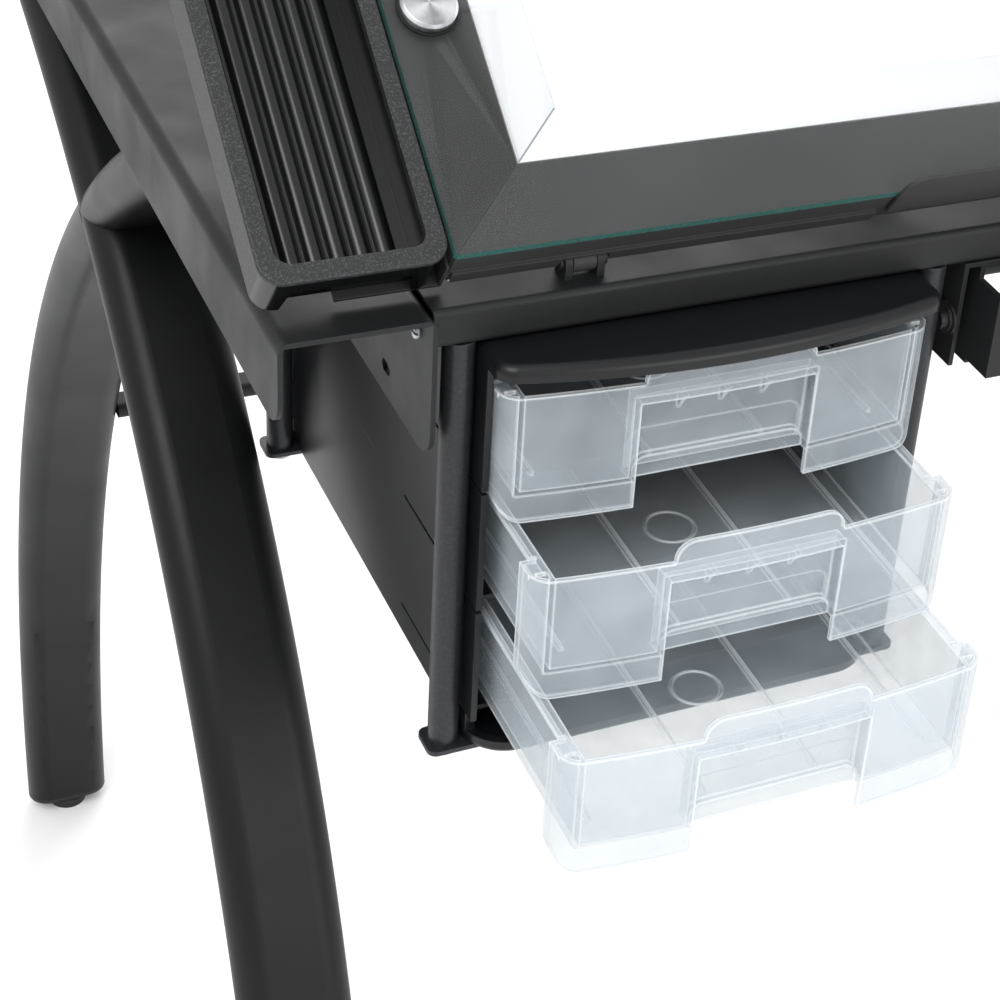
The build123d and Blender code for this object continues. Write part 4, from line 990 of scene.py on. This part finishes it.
@dataclass
class GlassTop(SubAssembly):
    """Glass, its four spun caps, the mitred frame and the ledge."""

    glass_w: float = 902 * MM
    glass_d: float = 603 * MM
    cap_r: float = 11 * MM
    cap_side: float = 16.2 * MM
    cap_front: float = 99 * MM
    washer_t: float = 1 * MM
    cap_t: float = 4 * MM
    shank_r: float = 4 * MM
    shank_len: float = 10.6 * MM
    cap_segments: int = 72
    bar_screw: float = 44 * MM      # from the glass's front and rear edges
    bar_depth: float = 20.5 * MM    # underside of the cross bars below the glass
    bar_screw_r: float = 3.4 * MM
    bar_screw_h: float = 1.8 * MM
    back_screw_x: float = 404 * MM
    back_shares: Triple = (0.2, 0.5, 0.8)   # of the glass's depth
    back_depth: float = 14 * MM     # underside of the pad's back below the glass
    back_screw_r: float = 2.6 * MM
    back_screw_h: float = 1.4 * MM
    tip_t: float = 1.4 * MM
    tip_round: float = 0.2 * MM

    def build(self, nodes: Nodes) -> None:
        """Finish the glass and frame, and turn the caps.

        Args:
            nodes: The frame's nodes by name.
        """
        glass = TemperedGlass("tempered_glass", "f1f5f4", 0.03, up=tuple(self.top.up))
        self.coat(nodes, glass, "glass_panel")
        self.coat(nodes, RUBBER, "glass_cap_washers")
        self.coat(nodes, TOP_STEEL, "top_frame_front", "top_frame_rear", "top_frame_left", "top_frame_right",
                  "hinge_ears", "left_quadrant", "right_quadrant", "top_cross_bars", "left_tray_rail",
                  "right_tray_rail", "pencil_ledge")
        self.coat(nodes, ZINC, "ledge_screws", "glass_caps")
        for hand in Hand:
            for end in End:
                along = self.cap_front if end is End.FRONT else self.glass_d - self.cap_front
                self.cap(f"{end.name.lower()}_{hand.name.lower()}_glass_cap",
                         hand.value * (self.glass_w / 2 - self.cap_side), along)
        self.hem_tip()
        self.underside()

    def underside(self) -> None:
        """Add the screws that hold the cross bars and the pad's back, seen from below."""
        down = -self.top.up
        for hand in Hand:
            side = hand.name.lower()
            low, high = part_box(f"{side}_quadrant")
            bar_x = (low[0] + high[0]) / 2
            for number, along in enumerate((self.bar_screw, self.glass_d - self.bar_screw)):
                spot = self.top.point(bar_x, along, self.bar_depth)
                self.screw(f"{side}_cross_bar_screw_{number}", facing(spot, down), self.bar_screw_r,
                           self.bar_screw_h, Body.TOP, crossed=True)
            for number, share in enumerate(self.back_shares):
                spot = self.top.point(hand.value * self.back_screw_x, share * self.glass_d, self.back_depth)
                self.screw(f"{side}_pad_back_screw_{number}", facing(spot, down), self.back_screw_r,
                           self.back_screw_h, Body.TOP, crossed=True)

    def cap(self, name: str, x: float, along: float) -> None:
        """Turn one spun cap with a dished face and a bevelled rim.

        Args:
            name: The cap's name.
            x: Its distance across from the middle.
            along: Its distance from the glass's front edge.
        """
        r, t = self.cap_r, self.cap_t
        profile = [(0, -self.shank_len), (self.shank_r, -self.shank_len), (self.shank_r, 0), (r - 0.3 * MM, 0),
                   (r, 0.3 * MM), (r, t - 1.1 * MM), (r - 0.15 * MM, t - 0.9 * MM), (r - 1.1 * MM, t),
                   (r - 1.5 * MM, t), (r - 2.2 * MM, t - 0.12 * MM), (0.5 * r, t - 0.22 * MM),
                   (0.8 * MM, t - 0.3 * MM), (0, t - 0.25 * MM)]
        piece = lathe(name, profile, self.cap_segments)
        piece.matrix_world = self.top.matrix(x, along, -self.washer_t)
        self.fit(piece, SPUN_METAL, Body.TOP, Slot.CAP)
        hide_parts("glass_caps")

    def hem_tip(self) -> None:
        """Add the small bare tip at the left end of the frame's front hem."""
        low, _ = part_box("top_frame_front")
        outline = [(0, 0), (2.6 * MM, 0), (2.6 * MM, 1.0 * MM), (1.4 * MM, 1.3 * MM), (0, 1.2 * MM)]
        mesh = prism(outline, 0, self.tip_t)
        bmesh.ops.bevel(mesh, geom=list(mesh.edges), offset=self.tip_round, segments=2, affect="EDGES")
        piece = new_object("front_hem_tip", mesh)
        piece.matrix_world = self.top.matrix(low[0] + 0.4 * MM, -1.2 * MM, self.bar_depth - 0.1 * MM)
        self.fit(piece, BARE_STEEL, Body.TOP, Slot.ZINC)


@dataclass
class LightPad(SubAssembly):
    """Light pad under the glass, with the fine joints at its bezel's corners."""

    pad_w: float = 834 * MM
    pad_d: float = 535 * MM
    bezel_w: float = 21 * MM
    depth: float = 4 * MM       # bezel below the glass surface
    glass_d: float = 603 * MM
    line: float = 0.7 * MM
    line_sink: float = 0.06 * MM
    outer_gap: float = 0.9 * MM
    inner_gap: float = 0.4 * MM

    def build(self, nodes: Nodes) -> None:
        """Finish the pad's layers and draw the corner joints.

        Args:
            nodes: The frame's nodes by name.
        """
        self.coat(nodes, BEZEL_WHITE, "light_pad_bezel")
        self.coat(nodes, PANEL_WHITE, "light_panel")
        self.coat(nodes, GUIDE_CLEAR, "light_guide")
        self.coat(nodes, STRIP_BOARD, "led_strips")
        self.coat(nodes, PAD_BACK, "light_pad_back")
        self.coat(nodes, NYLON, "power_inlet")
        for hand in Hand:
            for end in End:
                outer = Vector((hand.value * self.pad_w / 2, (self.glass_d - end.value * self.pad_d) / 2))
                inner = outer + Vector((-hand.value * self.bezel_w, end.value * self.bezel_w))
                self.joint(f"{end.name.lower()}_{hand.name.lower()}_bezel_joint", outer, inner)

    def joint(self, name: str, outer: Vector, inner: Vector) -> None:
        """Lay one fine mitre joint on the bezel.

        Args:
            name: The joint's name.
            outer: Its outer end, as distance across and along.
            inner: Its inner end.
        """
        run = (inner - outer).normalized()
        side = Vector((-run.y, run.x)) * self.line / 2
        start, stop = outer + run * self.outer_gap, inner - run * self.inner_gap
        outline = [tuple(spot) for spot in (start - side, stop - side, stop, stop + side, start + side)]
        piece = new_object(name, prism(outline, -self.line_sink, 0.0), False)
        piece.matrix_world = self.top.matrix(0, 0, self.depth)
        self.fit(piece, JOINT_GREY, Body.TOP, Slot.PAD)


@dataclass
class SideTrays(SubAssembly):
    """Four lift-off trays with fluted floors."""

    def build(self, nodes: Nodes) -> None:
        """Give the trays their grained and glossy plastic.

        Args:
            nodes: The frame's nodes by name.
        """
        level = self.top.point(0, 0, 0).dot(self.top.up)
        _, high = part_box("right_front_tray")
        plastic = TrayPlastic("black_tray_plastic", "0c0d0e", 0.2, up=tuple(self.top.up), level=level,
                              skirt_out=high[0])
        self.coat(nodes, plastic, "left_front_tray", "left_rear_tray", "right_front_tray", "right_rear_tray")


@dataclass
class TiltSupports(SubAssembly):
    """Clamp knobs, washers and the screws of the support brackets."""

    box_w: float = 34 * MM
    screw_downs: tuple[float, float] = (20 * MM, 36 * MM)   # under the bracket's top
    screw_r: float = 3 * MM
    screw_h: float = 1.8 * MM

    def build(self, nodes: Nodes) -> None:
        """Finish the knobs and add the bracket's screws.

        Args:
            nodes: The frame's nodes by name.
        """
        self.coat(nodes, NYLON, "left_clamp_knob", "right_clamp_knob", "support_fasteners")
        for hand in Hand:
            low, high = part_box(f"{hand.name.lower()}_support_bracket")
            inner = high[0] - self.box_w / 2 if hand is Hand.LEFT else low[0] + self.box_w / 2
            for number, down in enumerate(self.screw_downs):
                spot = Vector((inner, low[1], high[2] - down))
                self.screw(f"{hand.name.lower()}_bracket_screw_{number}", facing(spot, FORWARD),
                           self.screw_r, self.screw_h, Body.BASE, crossed=True)


# ---------------------------------------------------------------- stage
@dataclass(frozen=True)
class Softbox:
    """A square soft light that looks at the table."""

    name: str
    spot: Triple
    size: float
    power: float


@dataclass(frozen=True)
class Studio:
    """Pale floor, soft lights and the camera."""

    lens: float = 83.07
    sensor: float = 36.0
    shift: tuple[float, float] = (-0.2284, -0.0764)
    spot: Triple = (-0.7142, -0.94065, 1.1955)
    yaw: float = math.radians(29.78)
    pitch: float = math.radians(32.99)
    roll: float = math.radians(-6.76)
    far: float = 100.0
    floor_r: float = 30.0
    floor_segments: int = 48
    room: float = 0.9
    aim: Triple = (0, 0, 0.8)
    boxes: tuple[Softbox, ...] = (
        Softbox("key_softbox", (-1.6, -1.4, 3.2), 1.8, 55.0),
        Softbox("rear_softbox", (0.8, 2.2, 2.6), 2.0, 45.0),
        Softbox("front_softbox", (0.6, -2.6, 1.2), 1.4, 18.0),
    )

    def camera(self) -> None:
        """Put the camera in place."""
        ahead = Vector((math.sin(self.yaw) * math.cos(self.pitch), math.cos(self.yaw) * math.cos(self.pitch),
                        -math.sin(self.pitch)))
        level = Vector((math.cos(self.yaw), -math.sin(self.yaw), 0))
        down = ahead.cross(level)
        right = level * math.cos(self.roll) + down * math.sin(self.roll)
        below = down * math.cos(self.roll) - level * math.sin(self.roll)
        axes = Matrix((right, -below, -ahead)).transposed().to_4x4()
        data = bpy.data.cameras.new("camera")
        data.lens = self.lens
        data.sensor_width = self.sensor
        data.shift_x, data.shift_y = self.shift
        data.clip_end = self.far
        camera = bpy.data.objects.new("camera", data)
        camera.matrix_world = Matrix.Translation(Vector(self.spot)) @ axes
        bpy.context.scene.collection.objects.link(camera)
        bpy.context.scene.camera = camera

    def floor(self) -> None:
        """Lay the pale floor."""
        mesh = bmesh.new()
        bmesh.ops.create_circle(mesh, cap_ends=True, radius=self.floor_r, segments=self.floor_segments)
        floor = new_object("floor", mesh, False)
        floor.data.materials.append(PALE_FLOOR.material())

    def lights(self) -> None:
        """Hang the soft lights and light the room."""
        world = bpy.data.worlds.new("room")
        world.use_nodes = True
        background = world.node_tree.nodes["Background"]
        background.inputs["Color"].default_value = linear("ffffff")
        background.inputs["Strength"].default_value = self.room
        bpy.context.scene.world = world
        for box in self.boxes:
            data = bpy.data.lights.new(box.name, "AREA")
            data.shape = "SQUARE"
            data.size = box.size
            data.energy = box.power
            light = bpy.data.objects.new(box.name, data)
            light.matrix_world = facing(Vector(box.spot), Vector(box.spot) - Vector(self.aim))
            bpy.context.scene.collection.objects.link(light)
        bpy.context.scene.view_settings.view_transform = "Standard"
        bpy.context.scene.view_settings.look = "None"

    def build(self) -> None:
        """Set up the whole stage."""
        self.camera()
        self.floor()
        self.lights()


def main() -> None:
    """Dress the frame's sub-assemblies in order, then set the stage."""
    logging.basicConfig(level=logging.INFO, format="%(name)s: %(message)s")
    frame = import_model()
    nodes = frame["nodes"]
    joint = next(j for j in frame["record"]["behaviour"]["joints"] if j["name"] == TILT_JOINT)
    top = TiltedTop(joint["pos_m"][1], joint["pos_m"][2], math.radians(-joint["range_deg"][0]))
    for part in (BaseFrame(top), Legs(top), Cabinet(top), Drawers(top), GlassTop(top), LightPad(top),
                 SideTrays(top), TiltSupports(top)):
        part.build(nodes)
        for piece in part.made:
            LOG.info("%s rides with %s", piece.name, type(part).__name__)
    Studio().build()


if __name__ == "__main__":
    main()
